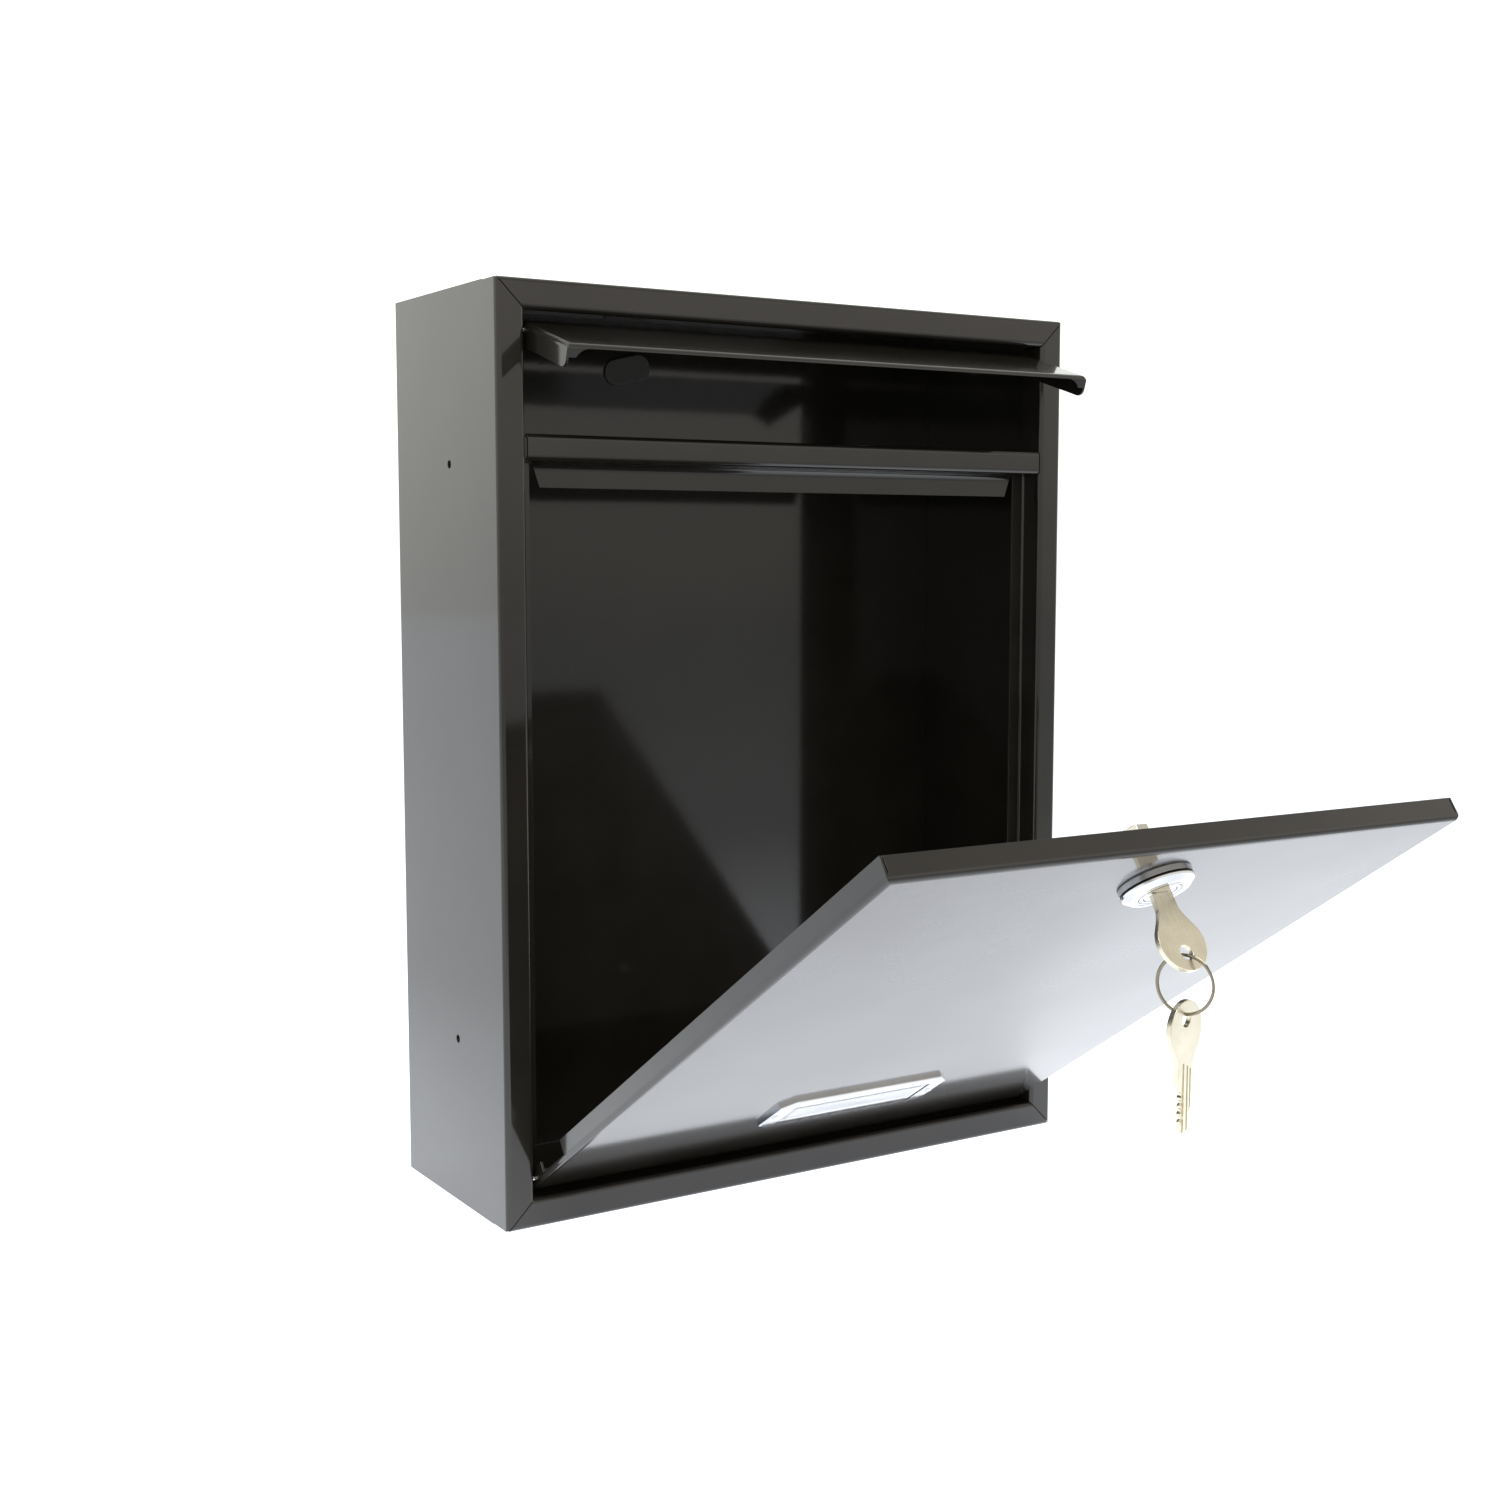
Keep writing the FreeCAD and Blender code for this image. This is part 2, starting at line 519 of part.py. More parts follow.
def make_crossbar():
    """Folded bar between the mail slot and the door, with a lip that the lock's cam catches."""
    body = new_body("crossbar", front_place())
    low = "Sizes.bar_low"
    high = "Sizes.bar_high"
    lip_back = "Sizes.rebate + Sizes.sheet"
    profile = new_sketch(body, "YZ_Plane", "Sizes.flange - Sizes.width / 2")
    draw_outline(profile, [
        ("0", high), ("0", low), ("Sizes.rebate", low), ("Sizes.rebate", "Sizes.bar_lip_low"),
        (lip_back, "Sizes.bar_lip_low"), (lip_back, "Sizes.bar_low + Sizes.sheet"),
        ("Sizes.sheet", "Sizes.bar_low + Sizes.sheet"), ("Sizes.sheet", "Sizes.bar_high - Sizes.sheet"),
        ("Sizes.bar_top_return", "Sizes.bar_high - Sizes.sheet"), ("Sizes.bar_top_return", high)])
    add_pad(body, profile, "Sizes.width - 2 * Sizes.flange")
    fold(body, X_AXIS, [("0", high), ("0", low)], "Sizes.bend")
    fold(body, X_AXIS, [(lip_back, "Sizes.bar_low + Sizes.sheet")], "Sizes.bar_lip_bend + Sizes.sheet")
    fold(body, X_AXIS, [("Sizes.sheet", "Sizes.bar_high - Sizes.sheet"),
                        ("Sizes.sheet", "Sizes.bar_low + Sizes.sheet")], "Sizes.inner_bend")
    fold(body, X_AXIS, [("Sizes.rebate", low)], "Sizes.bar_lip_bend")
    for side in (-1, 1):
        end = "%d * (Sizes.width / 2 - Sizes.flange)" % side
        face_end = "%d * (Sizes.width / 2 - Sizes.flange - Sizes.bar_end_gap)" % side
        face = new_sketch(body, "XZ_Plane")
        draw_rectangle(face, face_end, end, "Sizes.bar_low - 1", "Sizes.bar_high + 1")
        add_pocket(body, face, "Sizes.bend")
        lip_top = "%d * Sizes.bar_lip_half" % side
        lip_foot = "%d * (Sizes.bar_lip_half - Sizes.bar_lip_slant)" % side
        lip = new_sketch(body, "XZ_Plane", "-Sizes.rebate")
        draw_outline(lip, [(lip_top, low), (end, low), (end, "Sizes.bar_lip_low - 1"),
                           (lip_foot, "Sizes.bar_lip_low - 1"), (lip_foot, "Sizes.bar_lip_low")])
        add_pocket(body, lip, "2 * Sizes.sheet")


# ------------------------------------------------------------------ door


def cut_door_corners(body):
    """Open the seams beside the top edge, and notch the side edges above the hinge."""
    for side in (-1, 1):
        outer = "%d * (Sizes.door_half + 1)" % side
        inner = "%d * (Sizes.door_half - Sizes.sheet)" % side
        seam = new_sketch(body, "YZ_Plane", inner)
        draw_rectangle(seam, "Sizes.bend + Sizes.sheet / 2", "Sizes.door_depth + 1",
                       "Sizes.door_high - Sizes.bend - Sizes.sheet", "Sizes.door_high + 1")
        add_pocket(body, seam, "Sizes.seam")
        notch = new_sketch(body, "XY_Plane", "(Sizes.notch_low + Sizes.notch_high) / 2")
        draw_rectangle(notch, "%d * (Sizes.door_half - 2 * Sizes.sheet)" % side, outer,
                       "Sizes.notch_depth", "Sizes.door_depth + 1")
        add_pocket(body, notch, "(Sizes.notch_high - Sizes.notch_low) / 2")
        heel = new_sketch(body, "YZ_Plane", "%d * Sizes.door_half" % side)
        draw_rectangle(heel, "Sizes.door_foot_depth - 0.6", "Sizes.door_depth + 1",
                       "Sizes.door_low - 1", "Sizes.notch_low + 1")
        add_pocket(body, heel, "2 * Sizes.sheet")


def make_door_panel():
    """Door face with four folded edges."""
    body = new_body("door_panel", door_place())
    outline = new_sketch(body, "XZ_Plane")
    draw_rectangle(outline, "-Sizes.door_half", "Sizes.door_half", "Sizes.door_low", "Sizes.door_high")
    add_pad(body, outline, "Sizes.door_depth", reversed_way=True)
    half, low, high = size("door_half"), size("door_low"), size("door_high")

    def on_face_border(edge):
        return all(abs(vertex.Point.y) < 1e-6 for vertex in edge.Vertexes)

    def on_inner_border(edge):
        inset = size("sheet")
        points = [vertex.Point for vertex in edge.Vertexes]
        inside = all(abs(point.x) < half - inset / 2 and low < point.z < high for point in points)
        return inside and all(abs(point.y - inset) < 1e-6 for point in points)

    round_edges(body, on_face_border, "Sizes.bend")
    hollow = new_sketch(body, "XZ_Plane", "-Sizes.sheet - Sizes.door_depth")
    draw_rectangle(hollow, "Sizes.sheet - Sizes.door_half", "Sizes.door_half - Sizes.sheet",
                   "Sizes.door_low + Sizes.sheet", "Sizes.door_high - Sizes.sheet")
    add_pocket(body, hollow, "Sizes.door_depth")
    round_edges(body, on_inner_border, "Sizes.inner_bend")
    foot = new_sketch(body, "XY_Plane", "Sizes.door_low")
    draw_rectangle(foot, "-Sizes.door_half", "Sizes.door_half", "Sizes.door_foot_depth",
                   "Sizes.door_depth + 1")
    add_pocket(body, foot, "Sizes.bend")
    cut_door_corners(body)
    holes = new_sketch(body, "XZ_Plane")
    draw_circle(holes, "0", "Sizes.lock_up", "Sizes.barrel_radius")
    for side in (-1, 1):
        draw_circle(holes, "%d * Sizes.rivet_span / 2" % side, "Sizes.card_up", "Sizes.rivet_radius")
    add_pocket(body, holes, "2 * Sizes.sheet")
    pivots = new_sketch(body, "YZ_Plane")
    draw_circle(pivots, "Sizes.hinge_back", "Sizes.hinge_up", "Sizes.hinge_pin_radius")
    add_pocket(body, pivots, "Sizes.door_half + 1")


def make_pin_pair(label, place, back, up, fixed_half):
    """A pair of headed pins riveted in a moving part's two ends, as one group."""
    pins = []
    for side in (-1, 1):
        inside = "%s - Sizes.sheet - Sizes.pin_head" % fixed_half
        length = "Sizes.pin_head + Sizes.sheet + Sizes.pin_reach"
        shank = doc.addObject("Part::Cylinder", "Shank")
        shank.setExpression("Radius", "Sizes.hinge_pin_radius")
        shank.setExpression("Height", length)
        head = doc.addObject("Part::Cylinder", "Head")
        head.setExpression("Radius", "Sizes.pin_head_radius")
        head.setExpression("Height", "Sizes.pin_head")
        for piece in (shank, head):
            piece.Placement = App.Placement(Vector(), App.Rotation(Vector(0, 1, 0), side * 90))
            piece.setExpression("Placement.Base.x", "%d * (%s)" % (side, inside))
            piece.setExpression("Placement.Base.y", back)
            piece.setExpression("Placement.Base.z", up)
        pin = doc.addObject("Part::Fuse", "Pin")
        pin.Base = shank
        pin.Tool = head
        pins.append(pin)
    group = doc.addObject("Part::Compound", label)
    group.Links = pins
    group.Label = label
    group.Placement = place
    NODES.append(group)


# ------------------------------------------------------------------ flap


def make_flap_panel():
    """Flap face with an ear at each end and a short lip beside each ear."""
    body = new_body("flap_panel", flap_place())
    outline = new_sketch(body, "XZ_Plane", "-Sizes.flap_recess")
    draw_rectangle(outline, "-Sizes.flap_half", "Sizes.flap_half", "Sizes.flap_low", "Sizes.flap_high")
    add_pad(body, outline, "Sizes.flap_ear", reversed_way=True)
    recess, high = size("flap_recess"), size("flap_high")

    def on_folded_border(edge):
        points = [vertex.Point for vertex in edge.Vertexes]
        on_face = all(abs(point.y - recess) < 1e-6 for point in points)
        return on_face and not all(abs(point.z - high) < 1e-6 for point in points)

    round_edges(body, on_folded_border, "Sizes.bend")
    hollow = new_sketch(body, "XY_Plane", "Sizes.flap_high + Sizes.flap_low + Sizes.sheet")
    draw_rectangle(hollow, "Sizes.sheet - Sizes.flap_half", "Sizes.flap_half - Sizes.sheet",
                   "Sizes.flap_recess + Sizes.sheet", "Sizes.flap_recess + Sizes.flap_ear + 1")
    add_pocket(body, hollow, "Sizes.flap_high")
    shape_lips(body)
    shape_ears(body)


def shape_lips(body):
    """Cut the folded lower edge away between the short lips beside the ears."""
    lip_edge = "Sizes.flap_recess + Sizes.flap_lip"
    trim = new_sketch(body, "XY_Plane", "Sizes.flap_low")
    draw_rectangle(trim, "Sizes.sheet - Sizes.flap_half", "Sizes.flap_half - Sizes.sheet",
                   lip_edge, "Sizes.flap_recess + Sizes.flap_ear + 1")
    add_pocket(body, trim, "2 * Sizes.sheet")
    opening = new_sketch(body, "XY_Plane", "Sizes.flap_low")
    draw_slot(opening, "0", "Sizes.flap_recess + Sizes.flap_web + Sizes.flap_lip_radius",
              "2 * (Sizes.flap_half - Sizes.flap_lip_reach + Sizes.flap_lip_radius)", "Sizes.flap_lip_radius")
    add_pocket(body, opening, "1.5 * Sizes.sheet")


def shape_ears(body):
    """Drill the ears for the pivot pins and round their free corners."""
    pivots = new_sketch(body, "YZ_Plane")
    draw_circle(pivots, "Sizes.flap_pivot_back", "Sizes.flap_pivot_up", "Sizes.hinge_pin_radius")
    add_pocket(body, pivots, "Sizes.flap_half + 1")
    back = size("flap_recess") + size("flap_ear")
    ends = (size("flap_low"), size("flap_high"))
    round_edges(body, lambda edge: any(at_line(edge, X_AXIS, back, end) for end in ends),
                "1.5 * Sizes.bend")


# ------------------------------------------------------------------ lock


def lock_frame():
    """The lock's own frame on the open door."""
    return on_door(size("lock_up"))


def turned_body(label, place, corners):
    """A body of revolution about the z axis of its frame: corners are radius, height."""
    body = new_body(label, place)
    sketch = new_sketch(body, "XZ_Plane")
    draw_outline(sketch, corners)
    add_revolution(body, sketch)
    return body


def make_lock_housing():
    """Threaded barrel with a stepped, bevelled collar."""
    bore = "Sizes.plug_radius + Sizes.plug_play"
    high = "Sizes.collar_height"
    turned_body("lock_housing", lock_frame(), [
        (bore, "-Sizes.barrel_length"), ("Sizes.barrel_radius - 0.5", "-Sizes.barrel_length"),
        ("Sizes.barrel_radius", "0.5 - Sizes.barrel_length"), ("Sizes.barrel_radius", "0"),
        ("Sizes.collar_radius", "0"), ("Sizes.collar_radius", "0.9"),
        ("Sizes.collar_radius - 0.6", "1.1"), ("Sizes.collar_radius - 0.6", "1.5"),
        ("Sizes.collar_radius - 0.1", "1.7"), ("Sizes.collar_radius - 0.3", "2.3"),
        ("Sizes.collar_face_radius", high), ("Sizes.barrel_radius + 0.4", high),
        ("Sizes.barrel_radius + 0.2", "Sizes.collar_height - 0.3"),
        ("Sizes.barrel_radius", "Sizes.collar_height - 0.3"),
        ("Sizes.barrel_radius - 0.2", high), (bore, high)])


def make_ring_plate(label, inner, outer, low, high):
    """A flat washer on the lock's axis."""
    return turned_body(label, lock_frame(), [(inner, low), (outer, low), (outer, high), (inner, high)])


def make_hex_nut(label, flats, hole, low, thickness):
    """A hexagonal nut on the lock's axis, its lower face at low."""
    body = new_body(label, lock_frame())
    sketch = new_sketch(body, "XY_Plane", low)
    corner = "(%s) / (2 * cos(30))" % flats
    turns = [index * 60 for index in range(6)]
    draw_outline(sketch, [("%s * cos(%d)" % (corner, turn), "%s * sin(%d)" % (corner, turn))
                          for turn in turns])
    draw_circle(sketch, "0", "0", hole)
    add_pad(body, sketch, thickness)
    return body


def make_lock_plug():
    """Turning plug with a keyway, slots for its wafers, a square tenon and a threaded stud."""
    tenon_end = "-Sizes.plug_length - Sizes.cam_thickness"
    body = turned_body("lock_plug", lock_frame(), [
        ("0", "-Sizes.plug_length"), ("Sizes.plug_radius", "-Sizes.plug_length"),
        ("Sizes.plug_radius", "Sizes.collar_height - Sizes.plug_sink - 0.3"),
        ("Sizes.plug_radius - 0.3", "Sizes.collar_height - Sizes.plug_sink"),
        ("0", "Sizes.collar_height - Sizes.plug_sink")])
    square = new_sketch(body, "XY_Plane", "-Sizes.plug_length")
    draw_rectangle(square, "-Sizes.tenon / 2", "Sizes.tenon / 2", "-Sizes.tenon / 2", "Sizes.tenon / 2")
    add_pad(body, square, "Sizes.cam_thickness", reversed_way=True)
    stud = new_sketch(body, "XY_Plane", tenon_end)
    draw_circle(stud, "0", "0", "Sizes.stud_radius")
    add_pad(body, stud, "Sizes.stud_length", reversed_way=True)
    keyway = new_sketch(body, "XY_Plane", "Sizes.collar_height")
    draw_rectangle(keyway, "-Sizes.keyway_width / 2", "Sizes.keyway_width / 2",
                   "-Sizes.keyway_height / 2", "Sizes.keyway_height / 2")
    add_pocket(body, keyway, "Sizes.collar_height + Sizes.keyway_end")
    for index in range(WAFERS):
        slot = new_sketch(body, "XY_Plane", wafer_level(index))
        draw_rectangle(slot, "-Sizes.plug_radius - 1", "Sizes.plug_radius + 1",
                       "-Sizes.wafer_half_height - Sizes.wafer_play",
                       "Sizes.wafer_half_height + Sizes.wafer_play")
        add_pocket(body, slot, "Sizes.wafer / 2 + Sizes.wafer_play")


def wafer_level(index):
    """Height of a wafer's middle in the lock's frame."""
    return "-Sizes.wafer_first - %d * Sizes.wafer_pitch" % (index + 1)


def make_lock_wafers():
    """Spring wafers that the key's cuts line up, each with a window for the blade."""
    wafers = []
    for index in range(WAFERS):
        plate = doc.addObject("Part::Box", "WaferPlate")
        window = doc.addObject("Part::Box", "WaferWindow")
        halves = (("Sizes.wafer_half", "Sizes.wafer_half_height"),
                  ("(Sizes.keyway_width / 2 + 0.2)", "(Sizes.keyway_height / 2 + 0.2)"))
        for piece, (half_x, half_y) in zip((plate, window), halves):
            piece.setExpression("Length", "2 * " + half_x)
            piece.setExpression("Width", "2 * " + half_y)
            piece.setExpression("Height", "Sizes.wafer")
            piece.setExpression("Placement.Base.x", "-" + half_x)
            piece.setExpression("Placement.Base.y", "-" + half_y)
            piece.setExpression("Placement.Base.z", wafer_level(index) + " - Sizes.wafer / 2")
        wafer = doc.addObject("Part::Cut", "Wafer")
        wafer.Base = plate
        wafer.Tool = window
        wafers.append(wafer)
    group = doc.addObject("Part::Compound", "lock_wafers")
    group.Links = wafers
    group.Label = "lock_wafers"
    group.Placement = lock_frame()
    NODES.append(group)


def make_lock_cam():
    """Flat cam with a square hole, a round root and a rounded tip."""
    body = new_body("lock_cam", lock_frame())
    sketch = new_sketch(body, "XY_Plane", "-Sizes.plug_length")
    draw_slot(sketch, "(Sizes.cam_reach - Sizes.cam_width / 2) / 2", "0",
              "Sizes.cam_reach + Sizes.cam_width / 2", "Sizes.cam_width / 2")
    draw_rectangle(sketch, "-Sizes.tenon / 2", "Sizes.tenon / 2", "-Sizes.tenon / 2", "Sizes.tenon / 2")
    add_pad(body, sketch, "Sizes.cam_thickness", reversed_way=True)


def make_lock():
    """The cam lock, from its collar to the nut on the cam."""
    make_lock_housing()
    behind_washer = "-Sizes.sheet - Sizes.washer_thickness"
    make_ring_plate("lock_washer", "Sizes.barrel_radius", "Sizes.collar_radius - 0.5",
                    behind_washer, "-Sizes.sheet")
    make_hex_nut("lock_nut", "Sizes.lock_nut_flats", "Sizes.barrel_radius",
                 behind_washer + " - Sizes.lock_nut_thickness", "Sizes.lock_nut_thickness")
    make_lock_plug()
    make_lock_wafers()
    make_lock_cam()
    cam_back = "-Sizes.plug_length - Sizes.cam_thickness"
    make_ring_plate("cam_washer", "Sizes.stud_radius", "Sizes.cam_washer_radius",
                    cam_back + " - Sizes.washer_thickness", cam_back)
    make_hex_nut("cam_nut", "Sizes.cam_nut_flats", "Sizes.stud_radius",
                 cam_back + " - Sizes.washer_thickness - Sizes.cam_nut_thickness",
                 "Sizes.cam_nut_thickness")


# ------------------------------------------------------------------ keys and key ring


def key_foot():
    """Height of the key's shoulder above the door's face, as an expression."""
    return "(Sizes.collar_height - Sizes.plug_sink + Sizes.key_gap)"


def key_hole_height():
    """Height of the key's hole above the door's face."""
    foot = size("collar_height") - size("plug_sink") + size("key_gap")
    return foot + size("key_shoulder") + size("key_head") - size("key_hole_inset")


def make_key(label, place):
    """Flat key: round head with a hole, shoulder, and a blade with cuts and a milled groove."""
    body = new_body(label, place)
    foot = key_foot()
    tip = foot + " - Sizes.key_blade"
    neck = foot + " + Sizes.key_shoulder"
    head = neck + " + Sizes.key_head - Sizes.key_head_radius"
    middle = "-Sizes.key_thickness / 2"
    stem = new_sketch(body, "XZ_Plane", middle)
    draw_outline(stem, [
        ("-0.4 * Sizes.key_blade_half", tip), ("0.4 * Sizes.key_blade_half", tip),
        ("Sizes.key_blade_half", tip + " + 1.6"), ("Sizes.key_blade_half", foot),
        ("Sizes.key_shoulder_half", foot), ("Sizes.key_shoulder_half", neck),
        ("0.94 * Sizes.key_head_radius", head + " - 0.34 * Sizes.key_head_radius"),
        ("-0.94 * Sizes.key_head_radius", head + " - 0.34 * Sizes.key_head_radius"),
        ("-Sizes.key_shoulder_half", neck), ("-Sizes.key_shoulder_half", foot),
        ("-Sizes.key_blade_half", foot), ("-Sizes.key_blade_half", tip + " + 1.6")])
    add_pad(body, stem, "Sizes.key_thickness")
    bow = new_sketch(body, "XZ_Plane", middle)
    draw_circle(bow, "0", head, "Sizes.key_head_radius")
    add_pad(body, bow, "Sizes.key_thickness")
    hole = new_sketch(body, "XZ_Plane")
    draw_circle(hole, "0", neck + " + Sizes.key_head - Sizes.key_hole_inset", "Sizes.key_hole_radius")
    add_pocket(body, hole, "Sizes.key_thickness")
    for side, across in ((1, "-0.3 * Sizes.key_blade_half"), (-1, "0.4 * Sizes.key_blade_half")):
        groove = new_sketch(body, "XZ_Plane", "%d * Sizes.key_thickness / 2" % side)
        draw_rectangle(groove, across + " - 0.35", across + " + 0.35", tip + " - 1", neck)
        add_pocket(body, groove, "Sizes.key_groove")
    cuts = new_sketch(body, "XZ_Plane")
    for place_on_blade in (3.2, 6.0, 8.8, 11.6):
        level = tip + " + %.1f" % place_on_blade
        draw_outline(cuts, [
            ("-Sizes.key_blade_half - 1", level + " - 1.3"), ("-Sizes.key_blade_half - 1", level + " + 1.3"),
            ("-Sizes.key_blade_half", level + " + 1"),
            ("Sizes.key_cut - Sizes.key_blade_half", level + " + 0.3"),
            ("Sizes.key_cut - Sizes.key_blade_half", level + " - 0.3"),
            ("-Sizes.key_blade_half", level + " - 1")])
    add_pocket(body, cuts, "Sizes.key_thickness")
    return body


def heading(angle):
    """Level direction at an angle from the wall's direction, positive to the right."""
    return App.Rotation(Vector(0, 0, 1), -angle).multVec(Vector(0, 1, 0))


def ring_centre():
    """Centre of the key ring, which hangs straight down from the first key's hole."""
    wire = lock_frame().multVec(Vector(0, 0, key_hole_height() + size("ring_offset")))
    return wire - Vector(0, 0, size("ring_radius"))


def make_key_ring():
    """Key ring, hanging upright."""
    ring = doc.addObject("Part::Torus", "key_ring")
    ring.Label = "key_ring"
    ring.setExpression("Radius1", "Sizes.ring_radius")
    ring.setExpression("Radius2", "Sizes.ring_wire")
    turn = App.Rotation(Vector(0, 0, 1), heading(size("ring_turn")))
    ring.Placement = App.Placement(ring_centre(), turn)
    NODES.append(ring)


def spare_key_place():
    """The spare key hangs from the bottom of the ring by its hole."""
    hole = ring_centre() - Vector(0, 0, size("ring_radius") + size("spare_offset"))
    turn = App.Rotation(Vector(0, 0, 1), size("spare_turn"))
    return App.Placement(hole, turn) * App.Placement(Vector(0, 0, -key_hole_height()), App.Rotation())


# ------------------------------------------------------------------ card holder


def card_frame_place():
    """The card holder's own frame on the open door."""
    return on_door(size("card_up"))


def draw_centred(sketch, width, height):
    """Draw a rectangle about the sketch's origin."""
    draw_rectangle(sketch, "-(%s) / 2" % width, "(%s) / 2" % width, "-(%s) / 2" % height,
                   "(%s) / 2" % height)


def make_card_frame():
    """Frame with cut corners, an opening, a recess behind it for the card, and rivet holes."""
    body = new_body("card_frame", card_frame_place())
    outline = new_sketch(body, "XY_Plane")
    right, top, cut = "Sizes.card_width / 2", "Sizes.card_height / 2", "Sizes.card_corner"
    draw_outline(outline, [
        (right, "-" + top + " + " + cut), (right, top + " - " + cut), (right + " - " + cut, top),
        ("-" + right + " + " + cut, top), ("-" + right, top + " - " + cut),
        ("-" + right, "-" + top + " + " + cut), ("-" + right + " + " + cut, "-" + top),
        (right + " - " + cut, "-" + top)])
    add_pad(body, outline, "Sizes.card_frame")
    face = size("card_frame")
    round_edges(body, lambda edge: all(abs(vertex.Point.z - face) < 1e-6 for vertex in edge.Vertexes),
                "0.4 * Sizes.card_frame")
    view = new_sketch(body, "XY_Plane")
    draw_centred(view, "Sizes.card_view_width", "Sizes.card_view_height")
    add_pocket(body, view, "2 * Sizes.card_frame")
    recess = new_sketch(body, "XY_Plane")
    draw_centred(recess, "Sizes.card_recess_width", "Sizes.card_recess_height")
    add_pocket(body, recess, "Sizes.card_recess")
    rivets = new_sketch(body, "XY_Plane")
    for side in (-1, 1):
        draw_circle(rivets, "%d * Sizes.rivet_span / 2" % side, "0", "Sizes.rivet_radius")
    add_pocket(body, rivets, "2 * Sizes.card_frame")


def make_card_plate(label, low, thickness):
    """A thin plate in the card holder's recess."""
    body = new_body(label, card_frame_place())
    sketch = new_sketch(body, "XY_Plane", low)
    draw_centred(sketch, "Sizes.card_recess_width - 2 * Sizes.card_play",
                 "Sizes.card_recess_height - 2 * Sizes.card_play")
    add_pad(body, sketch, thickness)


def make_card_rivets():
    """Two rivets that hold the card holder to the door, as one group."""
    rivets = []
    for side in (-1, 1):
        shank = doc.addObject("Part::Cylinder", "RivetShank")
        shank.setExpression("Radius", "Sizes.rivet_radius")
        shank.setExpression("Height", "Sizes.card_frame + Sizes.sheet + 2 * Sizes.rivet_head")
        shank.setExpression("Placement.Base.z", "-Sizes.sheet - Sizes.rivet_head")
        outer = doc.addObject("Part::Cone", "RivetHead")
        outer.setExpression("Radius1", "Sizes.rivet_head_radius")
        outer.setExpression("Radius2", "Sizes.rivet_radius")
        outer.setExpression("Placement.Base.z", "Sizes.card_frame")
        inner = doc.addObject("Part::Cylinder", "RivetTail")
        inner.setExpression("Radius", "1.6 * Sizes.rivet_radius")
        inner.setExpression("Placement.Base.z", "-Sizes.sheet - Sizes.rivet_head")
        for piece in (outer, inner):
            piece.setExpression("Height", "Sizes.rivet_head")
        rivet = doc.addObject("Part::MultiFuse", "Rivet")
        rivet.Shapes = [shank, outer, inner]
        rivet.setExpression("Placement.Base.x", "%d * Sizes.rivet_span / 2" % side)
        rivets.append(rivet)
    group = doc.addObject("Part::Compound", "card_rivets")
    group.Links = rivets
    group.Label = "card_rivets"
    group.Placement = card_frame_place()
    NODES.append(group)


def make_card_holder():
    """Name card holder near the door's hinge."""
    make_card_frame()
    make_card_plate("name_card", "0", "Sizes.card_paper")
    make_card_plate("card_window", "Sizes.card_paper + 0.1", "Sizes.card_window")
    make_card_rivets()


# ------------------------------------------------------------------ assembly and files


def build():
    """Make every sub-part."""
    make_back_panel()
    make_port_plug()
    make_side_panel("left_side_panel", -1)
    make_side_panel("right_side_panel", 1)
    make_top_panel()
    make_bottom_panel()
    make_crossbar()
    make_door_panel()
    make_pin_pair("door_hinge_pins", door_place(), "Sizes.hinge_back", "Sizes.hinge_up",
                  "Sizes.door_half")
    make_flap_panel()
    make_pin_pair("flap_pivot_pins", flap_place(), "Sizes.flap_pivot_back", "Sizes.flap_pivot_up",
                  "Sizes.flap_half")
    make_lock()
    make_card_holder()
    make_key("key", lock_frame())
    make_key_ring()
    make_key("spare_key", spare_key_place())
    doc.recompute()


def check():
    """Stop if any object failed or any sub-part has no sound shape."""
    for item in doc.Objects:
        if "Invalid" in item.State or "Error" in item.State:
            raise ValueError("%s failed: %s" % (item.Label, item.State))
    for node in NODES:
        if node.Shape.isNull() or not node.Shape.isValid():
            raise ValueError("no sound shape for " + node.Label)


def write():
    """Write one STEP file for each sub-part, named after it."""
    os.makedirs("parts", exist_ok=True)
    for node in NODES:
        node.Shape.exportStep("parts/%s.step" % node.Label)
        print("%-18s %9.1f mm3, solids %d" % (node.Label, node.Shape.Volume, len(node.Shape.Solids)))


build()
check()
write()
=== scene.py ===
import json
import math

import bmesh
import bpy
from mathutils import Euler, Matrix, Vector


